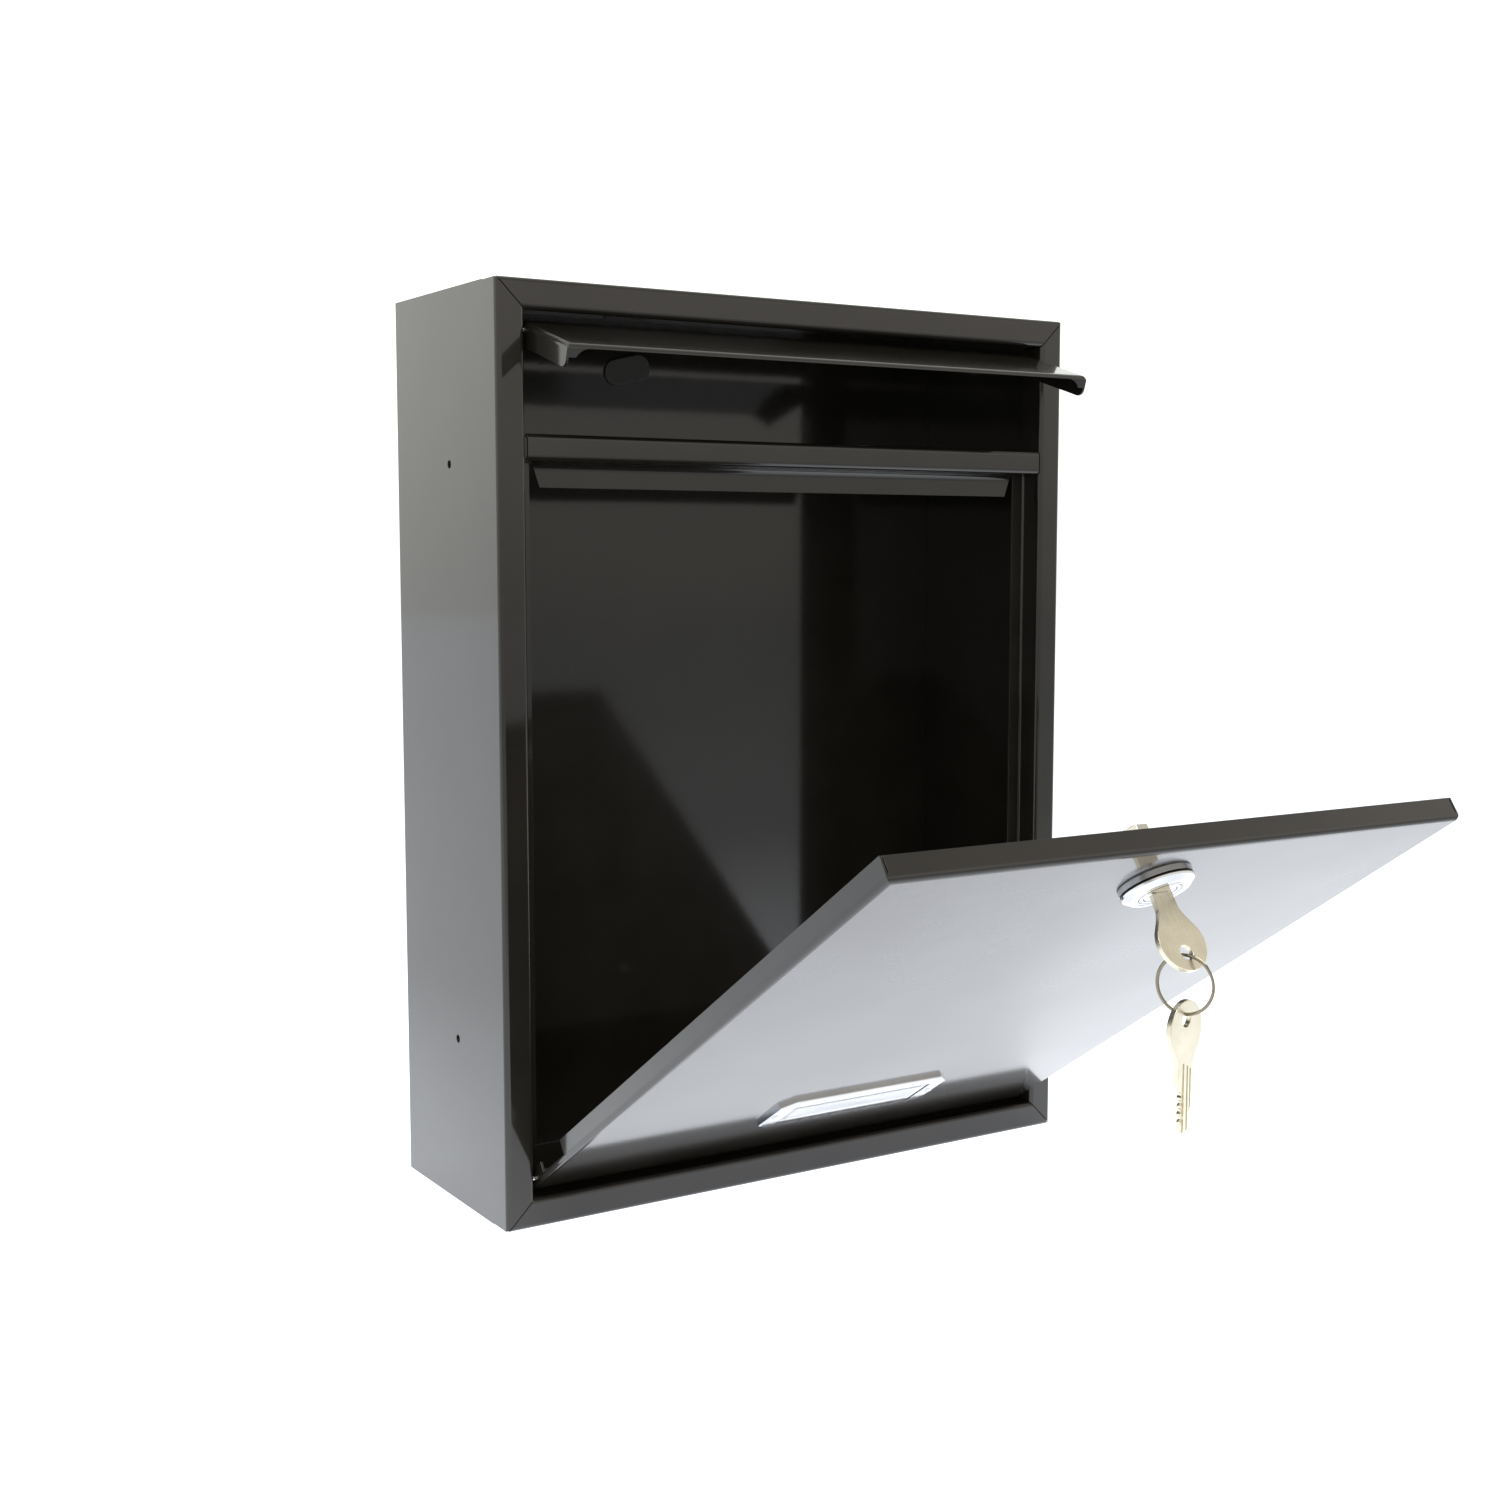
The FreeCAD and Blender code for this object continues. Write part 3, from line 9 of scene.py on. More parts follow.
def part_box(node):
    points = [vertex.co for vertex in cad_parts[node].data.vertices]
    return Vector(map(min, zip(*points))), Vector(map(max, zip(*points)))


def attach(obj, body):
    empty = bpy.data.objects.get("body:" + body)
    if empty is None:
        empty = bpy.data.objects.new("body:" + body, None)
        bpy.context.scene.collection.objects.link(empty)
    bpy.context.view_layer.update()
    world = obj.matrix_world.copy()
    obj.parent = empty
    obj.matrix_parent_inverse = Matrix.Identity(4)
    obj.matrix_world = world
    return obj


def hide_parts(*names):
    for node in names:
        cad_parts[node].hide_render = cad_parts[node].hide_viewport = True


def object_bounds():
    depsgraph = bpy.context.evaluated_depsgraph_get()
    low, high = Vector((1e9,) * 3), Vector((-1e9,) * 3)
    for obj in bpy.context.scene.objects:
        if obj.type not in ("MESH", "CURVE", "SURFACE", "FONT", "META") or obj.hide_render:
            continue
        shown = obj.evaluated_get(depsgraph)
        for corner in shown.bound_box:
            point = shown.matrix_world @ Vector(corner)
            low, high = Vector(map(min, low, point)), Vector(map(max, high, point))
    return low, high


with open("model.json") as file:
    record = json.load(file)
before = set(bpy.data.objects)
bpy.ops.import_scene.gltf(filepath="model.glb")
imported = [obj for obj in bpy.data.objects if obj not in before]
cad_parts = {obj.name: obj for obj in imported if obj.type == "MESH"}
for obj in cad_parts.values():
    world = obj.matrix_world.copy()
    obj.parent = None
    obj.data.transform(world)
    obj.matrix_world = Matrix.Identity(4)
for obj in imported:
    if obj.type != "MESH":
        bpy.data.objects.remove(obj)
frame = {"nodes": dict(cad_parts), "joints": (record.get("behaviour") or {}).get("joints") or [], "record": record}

# Looks for the wall mounted mailbox: paint, plating and paper on the CAD frame, and finer keys, key ring,
# screw threads, collar lines and card window. Metres, +X right, +Y into the wall, +Z up, in the frame of
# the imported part.

MM = 0.001
cad_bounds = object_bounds()
joints = {joint["name"]: joint for joint in frame["joints"]}


# ---------------------------------------------------------------- shader nodes


def start_material(name):
    """A new node material and its parts: the tree and the main shader."""
    material = bpy.data.materials.new(name)
    material.use_nodes = True
    tree = material.node_tree
    return material, tree, tree.nodes["Principled BSDF"]


def noise(tree, scale, detail=2.0, roughness=0.5, stretch=(1, 1, 1)):
    """Noise in the piece's own metres, stretched along an axis of choice. Scale is features per metre."""
    place = tree.nodes.new("ShaderNodeTexCoord")
    mapping = tree.nodes.new("ShaderNodeMapping")
    mapping.inputs["Scale"].default_value = stretch
    texture = tree.nodes.new("ShaderNodeTexNoise")
    texture.inputs["Scale"].default_value = scale
    texture.inputs["Detail"].default_value = detail
    texture.inputs["Roughness"].default_value = roughness
    tree.links.new(place.outputs["Object"], mapping.inputs["Vector"])
    tree.links.new(mapping.outputs["Vector"], texture.inputs["Vector"])
    return texture.outputs["Fac"]


def map_range(tree, value, low, high, to_low, to_high, interpolation="SMOOTHSTEP"):
    """Carry a value from one range to another, eased at both ends unless told otherwise."""
    step = tree.nodes.new("ShaderNodeMapRange")
    step.interpolation_type = interpolation
    for socket, number in (("From Min", low), ("From Max", high), ("To Min", to_low), ("To Max", to_high)):
        step.inputs[socket].default_value = number
    tree.links.new(value, step.inputs["Value"])
    return step.outputs["Result"]


def spread(tree, source, to_low, to_high):
    """Carry a noise value, which mostly lies between 0.3 and 0.7, to a range."""
    return map_range(tree, source, 0.3, 0.7, to_low, to_high, interpolation="LINEAR")


def multiply(tree, first, second):
    """The product of two values."""
    node = tree.nodes.new("ShaderNodeMath")
    node.operation = "MULTIPLY"
    tree.links.new(first, node.inputs[0])
    tree.links.new(second, node.inputs[1])
    return node.outputs["Value"]


def blend_colours(tree, factor, first, second):
    """Mix two colours by a value."""
    node = tree.nodes.new("ShaderNodeMix")
    node.data_type = "RGBA"
    node.inputs["A"].default_value = (*first, 1)
    node.inputs["B"].default_value = (*second, 1)
    tree.links.new(factor, node.inputs["Factor"])
    return node.outputs["Result"]


def bumps(tree, layers):
    """Stack bump layers, each a height value and its depth in metres, and return the normal."""
    normal = None
    for height, depth in layers:
        node = tree.nodes.new("ShaderNodeBump")
        node.inputs["Strength"].default_value = 1.0
        node.inputs["Distance"].default_value = depth
        tree.links.new(height, node.inputs["Height"])
        if normal is not None:
            tree.links.new(normal, node.inputs["Normal"])
        normal = node.outputs["Normal"]
    return normal


# ---------------------------------------------------------------- materials


def powder_coat():
    """Glossy black powder coat: slight orange peel, a faint warm cast, and soft waves in the sheet."""
    material, tree, shader = start_material("black_powder_coat")
    tone = spread(tree, noise(tree, 35, detail=3), 0, 1)
    colour = blend_colours(tree, tone, (0.0095, 0.0082, 0.0062), (0.0135, 0.0118, 0.0092))
    tree.links.new(colour, shader.inputs["Base Color"])
    haze = spread(tree, noise(tree, 18, detail=4, roughness=0.6), 0.3, 0.4)
    tree.links.new(haze, shader.inputs["Roughness"])
    shader.inputs["IOR"].default_value = 1.5
    shader.inputs["Specular IOR Level"].default_value = 0.08
    shader.inputs["Coat Weight"].default_value = 1.0
    shader.inputs["Coat Roughness"].default_value = 0.085
    shader.inputs["Coat IOR"].default_value = 1.5
    peel = noise(tree, 420, detail=2, roughness=0.45)
    sheet_waves = noise(tree, 16, detail=1, roughness=0.3)
    normal = bumps(tree, [(peel, 0.000006), (sheet_waves, 0.00006)])
    tree.links.new(normal, shader.inputs["Normal"])
    tree.links.new(normal, shader.inputs["Coat Normal"])
    return material


def plated(name, light, dark, rough, grain=(1, 1, 1), scale=260, depth=0.000004):
    """Metal whose tone varies, with a fine grain that grain can stretch along an axis."""
    material, tree, shader = start_material(name)
    shader.inputs["Metallic"].default_value = 1.0
    tone = spread(tree, noise(tree, 90, detail=4, roughness=0.6), 0, 1)
    tree.links.new(blend_colours(tree, tone, light, dark), shader.inputs["Base Color"])
    lines = noise(tree, scale, detail=3, roughness=0.55, stretch=grain)
    tree.links.new(spread(tree, lines, rough[0], rough[1]), shader.inputs["Roughness"])
    tree.links.new(bumps(tree, [(lines, depth)]), shader.inputs["Normal"])
    return material


def card_paper():
    """White card: a faint grain and a matt face."""
    material, tree, shader = start_material("white_card_paper")
    grain = noise(tree, 900, detail=4, roughness=0.7)
    colour = blend_colours(tree, spread(tree, grain, 0, 1), (0.86, 0.86, 0.87), (0.92, 0.92, 0.92))
    tree.links.new(colour, shader.inputs["Base Color"])
    tree.links.new(spread(tree, grain, 0.55, 0.7), shader.inputs["Roughness"])
    tree.links.new(bumps(tree, [(grain, 0.00002)]), shader.inputs["Normal"])
    return material


def clear_plastic():
    """Clear plastic over the card, with faint scuffs."""
    material, tree, shader = start_material("clear_plastic")
    scuffs = noise(tree, 300, detail=5, roughness=0.7)
    shader.inputs["Transmission Weight"].default_value = 1.0
    shader.inputs["IOR"].default_value = 1.45
    colour = blend_colours(tree, spread(tree, scuffs, 0, 1), (0.97, 0.98, 1.0), (0.93, 0.94, 0.96))
    tree.links.new(colour, shader.inputs["Base Color"])
    tree.links.new(spread(tree, scuffs, 0.02, 0.08), shader.inputs["Roughness"])
    return material


def rubber():
    """Dark grey moulded rubber with a fine matt grain."""
    material, tree, shader = start_material("grey_rubber")
    grain = noise(tree, 1400, detail=3, roughness=0.6)
    colour = blend_colours(tree, spread(tree, grain, 0, 1), (0.035, 0.034, 0.031), (0.055, 0.052, 0.047))
    tree.links.new(colour, shader.inputs["Base Color"])
    tree.links.new(spread(tree, grain, 0.45, 0.6), shader.inputs["Roughness"])
    tree.links.new(bumps(tree, [(grain, 0.00003)]), shader.inputs["Normal"])
    return material


BLACK = powder_coat()
CHROME = plated("polished_chrome", light=(0.66, 0.67, 0.69), dark=(0.58, 0.59, 0.61), rough=(0.04, 0.10),
                scale=700, depth=0.000001)
ZINC = plated("bright_zinc", light=(0.72, 0.70, 0.64), dark=(0.60, 0.58, 0.53), rough=(0.16, 0.30))
BRASS = plated("wafer_brass", light=(0.80, 0.62, 0.30), dark=(0.70, 0.52, 0.24), rough=(0.22, 0.34))
NICKEL = plated("key_nickel", light=(0.80, 0.75, 0.60), dark=(0.68, 0.63, 0.50), rough=(0.24, 0.36),
                grain=(1, 1, 0.05), scale=1500)
RING_NICKEL = plated("ring_nickel", light=(0.30, 0.27, 0.20), dark=(0.20, 0.18, 0.13), rough=(0.12, 0.22),
                     scale=900)
# Near-black chrome for the collar lines: painted shade, not the plating's own colour.
PAINTED_SHADE_CHROME = plated("shaded_chrome", light=(0.05, 0.045, 0.03), dark=(0.03, 0.027, 0.02),
                     rough=(0.15, 0.25))
CARD = card_paper()
CLEAR = clear_plastic()
RUBBER = rubber()

SLOT_MATERIALS = {
    "black_steel": BLACK,
    "grey_rubber": RUBBER,
    "zinc_steel": ZINC,
    "lock_chrome": CHROME,
    "holder_chrome": CHROME,
    "wafer_brass": BRASS,
    "key_nickel": NICKEL,
    "ring_steel": RING_NICKEL,
    "white_card": CARD,
    "clear_window": CLEAR}

material_slot = {part["node"]: part["material_slot"] for part in frame["record"]["subparts"]}


# ---------------------------------------------------------------- helpers for pieces


def add_piece(name, mesh, material, body, place):
    """Link a mesh as a piece that rides on a body."""
    piece = bpy.data.objects.new(name, mesh)
    bpy.context.scene.collection.objects.link(piece)
    piece.matrix_world = place
    piece.data.materials.clear()
    piece.data.materials.append(material)
    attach(piece, body)
    return piece


# Folds sharper than this stay sharp when shaded.
SHARP_FOLD = math.radians(32)


def shading_group():
    """Node group that shades smooth across gentle folds and keeps real corners sharp."""
    group = bpy.data.node_groups.new("shade_folds", "GeometryNodeTree")
    group.is_modifier = True
    group.interface.new_socket("Geometry", in_out="INPUT", socket_type="NodeSocketGeometry")
    group.interface.new_socket("Geometry", in_out="OUTPUT", socket_type="NodeSocketGeometry")
    source = group.nodes.new("NodeGroupInput")
    sink = group.nodes.new("NodeGroupOutput")
    faces = group.nodes.new("GeometryNodeSetShadeSmooth")
    faces.domain = "FACE"
    faces.inputs["Shade Smooth"].default_value = True
    edges = group.nodes.new("GeometryNodeSetShadeSmooth")
    edges.domain = "EDGE"
    edges.inputs["Shade Smooth"].default_value = False
    angle = group.nodes.new("GeometryNodeInputMeshEdgeAngle")
    sharp = group.nodes.new("FunctionNodeCompare")
    sharp.operation = "GREATER_THAN"
    sharp.inputs["B"].default_value = SHARP_FOLD
    group.links.new(angle.outputs["Unsigned Angle"], sharp.inputs["A"])
    group.links.new(sharp.outputs["Result"], edges.inputs["Selection"])
    group.links.new(source.outputs["Geometry"], faces.inputs["Geometry"])
    group.links.new(faces.outputs["Geometry"], edges.inputs["Geometry"])
    group.links.new(edges.outputs["Geometry"], sink.inputs["Geometry"])
    return group


SHADE_FOLDS = shading_group()


def shade(piece):
    """Shade a piece smooth across gentle folds only, with the flat faces kept flat."""
    folds = piece.modifiers.new("ShadeFolds", "NODES")
    folds.node_group = SHADE_FOLDS
    normals = piece.modifiers.new("FlatFaces", "WEIGHTED_NORMAL")
    normals.keep_sharp = True


# Corners sharper than the first angle are rounded, and faces closer to flat than the second are merged.
# Mesh corners closer than the distance, in metres, are joined.
ROUNDED_CORNER = math.radians(40)
FLAT_FOLD = math.radians(0.5)
WELD_DISTANCE = 2e-6


def soften(piece, width):
    """Join the mesh's split corners, merge flat faces and round the real corners a little."""
    weld = piece.modifiers.new("Weld", "WELD")
    weld.merge_threshold = WELD_DISTANCE
    merge = piece.modifiers.new("MergeFlat", "DECIMATE")
    merge.decimate_type = "DISSOLVE"
    merge.angle_limit = FLAT_FOLD
    bevel = piece.modifiers.new("Bevel", "BEVEL")
    bevel.width = width
    bevel.segments = 2
    bevel.limit_method = "ANGLE"
    bevel.angle_limit = ROUNDED_CORNER
    bevel.use_clamp_overlap = False
    shade(piece)


# Rounding of the CAD pieces' cut edges, in millimetres; the pieces that aren't named keep exact edges.
SHEET_ROUNDING = 0.15
SHEET_PIECES = ("back_panel", "left_side_panel", "right_side_panel", "top_panel", "bottom_panel", "crossbar",
                "door_panel", "flap_panel")
EDGE_ROUNDING = {name: SHEET_ROUNDING for name in SHEET_PIECES}
EDGE_ROUNDING.update({"lock_nut": 0.25, "lock_washer": 0.12, "lock_cam": 0.25, "cam_washer": 0.12,
                      "cam_nut": 0.2, "name_card": 0.03})


def dress_cad():
    """Give every CAD node its procedural material, and the sheet and hardware rounded edges."""
    for name, node in frame["nodes"].items():
        for index in range(len(node.material_slots)):
            node.material_slots[index].material = SLOT_MATERIALS[material_slot[name]]
        if name in EDGE_ROUNDING:
            soften(node, EDGE_ROUNDING[name] * MM)


dress_cad()


# ---------------------------------------------------------------- places on the door


def frame_matrix(origin, x_axis, z_axis):
    """A frame at origin with the given x and z axes."""
    y_axis = z_axis.cross(x_axis)
    turn = Matrix((x_axis, y_axis, z_axis)).transposed()
    return Matrix.Translation(origin) @ turn.to_4x4()


lock_joint = joints["lock_turn"]
OUTWARD = Vector(lock_joint["axis"]).normalized()
RIGHT = Vector((1, 0, 0))
UP = Vector((0, 0, 1))
lock_place = frame_matrix(Vector(lock_joint["pos_m"]), RIGHT, OUTWARD)


# ---------------------------------------------------------------- keys


# Key sizes in millimetres. Levels are measured from the lock's face outwards: the blade's tip is inside the
# lock, then come the foot, the neck and the round head with its ring hole.
KEY_THICK = 1.8
KEY_ROUND = 0.18
KEY_FOOT = 3.9
KEY_TIP = -11.6
KEY_NECK = 8.7
KEY_HEAD_CENTRE = 20.3
KEY_HEAD_RADIUS = 9.1
KEY_HOLE_CENTRE = 23.5
KEY_HOLE_RADIUS = 2.4
KEY_SHOULDER = 4.1
KEY_BLADE = 2.3
KEY_STEP = 1.5
KEY_JOIN = math.radians(-35)

# Cuts in the blade's edge, each a level and a depth, and a cut's half width at its mouth and at its floor.
KEY_CUTS = ((0.6, 0.5), (-1.9, 1.0), (-4.4, 0.7), (-6.9, 1.2))
CUT_MOUTH = 0.9
CUT_FLOOR = 0.3

# The straight run above the cuts, and the blade's tip: the slopes on its cut side and its plain side, and
# the flat end between them as shares of the blade's half width.
EDGE_RUN = 2.2
TIP_SLOPE = 2.2
TIP_BACK_SLOPE = 1.6
TIP_FLAT = (-0.5, 0.4)

# Milled grooves, each with its left edge, its right edge and the level where it ends.
KEY_GROOVES = ((-1.9, -0.9, KEY_NECK + 1.4), (0.5, 1.3, KEY_NECK + 0.4), (2.3, 2.9, KEY_NECK - 0.6))
GROOVE_DEPTH = 0.38


def key_side(side):
    """One side of the key's outline from the foot of its shoulder to the top of its head."""
    joint_x = KEY_HEAD_RADIUS * math.cos(KEY_JOIN)
    joint_z = KEY_HEAD_CENTRE + KEY_HEAD_RADIUS * math.sin(KEY_JOIN)
    run = (joint_x - KEY_SHOULDER) / math.sin(-KEY_JOIN)
    bend = (KEY_SHOULDER, joint_z - run * math.cos(KEY_JOIN))
    points = [(KEY_SHOULDER, KEY_FOOT), (KEY_SHOULDER, KEY_NECK - KEY_STEP)]
    neck_steps = 8
    for step in range(neck_steps + 1):
        share = step / neck_steps
        x = (1 - share) ** 2 * KEY_SHOULDER + 2 * share * (1 - share) * bend[0] + share ** 2 * joint_x
        z = (1 - share) ** 2 * KEY_NECK + 2 * share * (1 - share) * bend[1] + share ** 2 * joint_z
        points.append((x, z))
    head_steps = 28
    for step in range(1, head_steps + 1):
        angle = KEY_JOIN + (math.pi / 2 - KEY_JOIN) * step / head_steps
        points.append((KEY_HEAD_RADIUS * math.cos(angle),
                       KEY_HEAD_CENTRE + KEY_HEAD_RADIUS * math.sin(angle)))
    return [(side * x, z) for x, z in points]


def key_blade_edge():
    """The blade's outline from its foot, along the cut edge, round the tip and back up its plain edge.

    The cuts have sloped sides, flat floors and different depths.
    """
    points = [(-KEY_BLADE, KEY_FOOT), (-KEY_BLADE, KEY_FOOT - EDGE_RUN)]
    for level, depth in KEY_CUTS:
        for offset, share in ((CUT_MOUTH, 0), (CUT_FLOOR, 1), (-CUT_FLOOR, 1), (-CUT_MOUTH, 0)):
            points.append((-KEY_BLADE + depth * share, level + offset))
    points.append((-KEY_BLADE, KEY_TIP + TIP_SLOPE))
    points += [(share * KEY_BLADE, KEY_TIP) for share in TIP_FLAT]
    points += [(KEY_BLADE, KEY_TIP + TIP_BACK_SLOPE), (KEY_BLADE, KEY_FOOT)]
    return points


def closed_spline(curve, points):
    """Add a closed outline of straight pieces to a flat curve, in millimetres."""
    spline = curve.splines.new("POLY")
    spline.points.add(len(points) - 1)
    for point, (x, z) in zip(spline.points, points):
        point.co = (x * MM, z * MM, 0, 1)
    spline.use_cyclic_u = True


def take_mesh(holder):
    """The mesh of a curve or of an object with modifiers. The holder is then removed."""
    bpy.context.view_layer.update()
    evaluated = holder.evaluated_get(bpy.context.evaluated_depsgraph_get())
    mesh = bpy.data.meshes.new_from_object(evaluated)
    bpy.data.objects.remove(holder)
    return mesh


def add_holder(name, data):
    """A plain object that only holds a curve or a mesh while it is worked on."""
    holder = bpy.data.objects.new(name, data)
    bpy.context.scene.collection.objects.link(holder)
    return holder


def box_mesh(name, low, high):
    """An upright block between two corners in millimetres, used as a cutter."""
    mesh = bpy.data.meshes.new(name)
    shape = bmesh.new()
    bmesh.ops.create_cube(shape, size=1)
    middle = (Vector(low) + Vector(high)) / 2 * MM
    span = (Vector(high) - Vector(low)) * MM
    bmesh.ops.scale(shape, vec=span, verts=shape.verts)
    bmesh.ops.translate(shape, vec=middle, verts=shape.verts)
    shape.to_mesh(mesh)
    shape.free()
    return mesh


def key_blank():
    """Flat key with rounded edges, a ring hole and cuts on one side of its blade."""
    curve = bpy.data.curves.new("key_outline", "CURVE")
    curve.dimensions = "2D"
    curve.fill_mode = "BOTH"
    curve.extrude = (KEY_THICK / 2 - KEY_ROUND) * MM
    curve.bevel_depth = KEY_ROUND * MM
    curve.bevel_resolution = 2
    curve.offset = -KEY_ROUND * MM
    right = key_side(1)
    left = key_side(-1)[::-1]
    closed_spline(curve, right + left[1:] + key_blade_edge()[:-1])
    hole_steps = 40
    hole = [(KEY_HOLE_RADIUS * math.cos(2 * math.pi * step / hole_steps),
             KEY_HOLE_CENTRE + KEY_HOLE_RADIUS * math.sin(2 * math.pi * step / hole_steps))
            for step in range(hole_steps)]
    closed_spline(curve, hole[::-1])
    mesh = take_mesh(add_holder("key_outline", curve))
    mesh.transform(Matrix.Rotation(math.radians(90), 4, "X"))
    return mesh


def milled_key():
    """The key's mesh with milled grooves along the blade and neck, on the front face."""
    blank = add_holder("key_blank", key_blank())
    face = KEY_THICK / 2
    margin = 0.5
    cutters = []
    for left, right, end in KEY_GROOVES:
        low = (left, -face - margin, KEY_TIP - 2 * margin)
        high = (right, GROOVE_DEPTH - face, end)
        cutter = add_holder("groove", box_mesh("groove", low, high))
        cutters.append(cutter)
        cut = blank.modifiers.new("Groove", "BOOLEAN")
        cut.operation = "DIFFERENCE"
        cut.solver = "EXACT"
        cut.object = cutter
    mesh = take_mesh(blank)
    for cutter in cutters:
        bpy.data.objects.remove(cutter)
    return mesh


def make_key(name, body, node, place):
    """A finished key in place of its CAD node."""
    piece = add_piece(name, milled_key(), NICKEL, body, place)
    shade(piece)
    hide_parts(node)


# The spare key's ring hole is centred a little below the ring's lowest point, in millimetres, and the key
# is turned a little about the vertical.
spare_joint = joints["spare_key_swing"]
SPARE_DROP = 1.5
SPARE_TURN = math.radians(15)
spare_hole = Vector(spare_joint["pos_m"]) - Vector((0, 0, SPARE_DROP * MM))
spare_place = (Matrix.Translation(spare_hole) @ Matrix.Rotation(SPARE_TURN, 4, "Z")
               @ Matrix.Translation((0, 0, -KEY_HOLE_CENTRE * MM)))
make_key("key_in_lock", "key", "key", lock_place)
make_key("key_on_ring", "spare_key", "spare_key", spare_place)


# ---------------------------------------------------------------- key ring, threads and collar lines


def skin_rings(name, rings, closed=False):
    """A mesh over rings of points. Closed joins the last ring to the first, or else both ends are capped."""
    mesh = bpy.data.meshes.new(name)
    shape = bmesh.new()
    rings = [[shape.verts.new(point) for point in ring] for ring in rings]
    count = len(rings[0])
    followers = rings[1:] + rings[:1] if closed else rings[1:]
    for ring, following in zip(rings, followers):
        for index in range(count):
            after = (index + 1) % count
            shape.faces.new((ring[index], ring[after], following[after], following[index]))
    if not closed:
        shape.faces.new(rings[0][::-1])
        shape.faces.new(rings[-1])
    bmesh.ops.recalc_face_normals(shape, faces=shape.faces)
    shape.to_mesh(mesh)
    shape.free()
    return mesh


def radial(angle):
    """The direction away from the z axis at an angle."""
    return Vector((math.cos(angle), math.sin(angle), 0))


def helix(radius, start, pitch, turns, steps_per_turn, phase=0.0):
    """Angles and points of a helix about the z axis, in metres."""
    count = round(turns * steps_per_turn)
    angles = [phase + 2 * math.pi * step / steps_per_turn for step in range(count + 1)]
    return [(angle, Vector((radius * math.cos(angle), radius * math.sin(angle),
                            start + pitch * step / steps_per_turn)))
            for step, angle in enumerate(angles)]


def make_split_ring():
    """Split key ring: almost two turns of flat wire lying side by side, with tapered ends."""
    ring_joint = joints["ring_swing"]
    top = Vector(ring_joint["pos_m"])
    low = Vector(spare_joint["pos_m"])
    radius = (top - low).length / 2
    half_height = 0.5 * MM
    half_width = 0.16 * MM
    pitch = 0.34 * MM
    turns = 1.9
    start_angle = math.radians(-60)
    end_share = 0.6
    taper_steps = 3
    around = 12
    path = helix(radius, -pitch * turns / 2, pitch, turns, steps_per_turn=72, phase=start_angle)

    def section(step, angle, point):
        from_end = min(step, len(path) - 1 - step)
        thick = half_height * (end_share + (1 - end_share) * min(1.0, from_end / taper_steps))
        return [point + radial(angle) * thick * math.cos(2 * math.pi * corner / around)
                + UP * half_width * math.sin(2 * math.pi * corner / around)
                for corner in range(around)]

    mesh = skin_rings("split_ring", [section(step, *entry) for step, entry in enumerate(path)])
    place = frame_matrix((top + low) / 2, UP, Vector(ring_joint["axis"]).normalized())
    ring = add_piece("split_ring", mesh, RING_NICKEL, "key_ring", place)
    shade(ring)
    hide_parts("key_ring")


def make_thread(name, body, radius, start, end, pitch, depth):
    """A raised screw thread on the lock's axis that fades out at both ends.

    Half the ridge's width is root_share of the pitch at its foot and crest_share at its top, and the foot is
    sunk a little into the barrel or stud.
    """
    root_share = 0.44
    crest_share = 0.06
    fade_steps = 14
    sunk = 0.05 * MM
    inner = radius - sunk
    path = helix(1.0, start, pitch, (end - start) / pitch, steps_per_turn=40)

    def section(step, angle, point):
        away = radial(angle)
        from_end = min(step, len(path) - 1 - step)
        outer = radius + depth * min(1.0, from_end / fade_steps)
        level = UP * point.z
        return [away * inner + level - UP * pitch * root_share,
                away * outer + level - UP * pitch * crest_share,
                away * outer + level + UP * pitch * crest_share,
                away * inner + level + UP * pitch * root_share]

    mesh = skin_rings(name, [section(step, *entry) for step, entry in enumerate(path)])
    shade(add_piece(name, mesh, CHROME, body, lock_place))


# Each ring is painted shade: a dark chrome ring laid along a line of the lock's collar.
def make_bead(name, radius, level, half_height, half_width):
    """A slim dark ring of oval section round the lock's axis.

    Sizes are in millimetres: half_height is along the axis and half_width across it.
    """
    steps = 96
    around = 10
    rings = []
    for step in range(steps):
        away = radial(2 * math.pi * step / steps)
        turns = [2 * math.pi * corner / around for corner in range(around)]
        rings.append([(away * (radius + half_width * math.cos(turn))
                       + Vector((0, 0, level + half_height * math.sin(turn)))) * MM for turn in turns])
    mesh = skin_rings(name, rings, closed=True)
    shade(add_piece(name, mesh, PAINTED_SHADE_CHROME, "door", lock_place))


make_split_ring()
make_thread("barrel_thread", "door", radius=8.0 * MM, start=-11.2 * MM, end=-5.3 * MM, pitch=1.0 * MM,
            depth=0.3 * MM)
make_thread("stud_thread", "lock_plug", radius=2.4 * MM, start=-18.75 * MM, end=-18.3 * MM, pitch=0.5 * MM,
            depth=0.15 * MM)
make_bead("collar_side_line", radius=11.75, level=1.35, half_height=0.34, half_width=0.3)
make_bead("collar_face_line", radius=7.0, level=3.8, half_height=0.06, half_width=0.22)


# ---------------------------------------------------------------- card window


def stepped_block(name, levels):
    """A closed block of rectangles with rounded corners: each level is half width, half height, radius, z."""
    per_corner = 5
    rings = []
    for half_x, half_y, radius, z in levels:
        ring = []
        for corner in range(4):
            sign_x = 1 if corner in (0, 3) else -1
            sign_y = 1 if corner in (0, 1) else -1
            for step in range(per_corner):
                angle = math.pi / 2 * (corner + step / (per_corner - 1))
                ring.append((sign_x * (half_x - radius) * MM + radius * MM * math.cos(angle),
                             sign_y * (half_y - radius) * MM + radius * MM * math.sin(angle), z * MM))
        rings.append(ring)
    return skin_rings(name, rings)


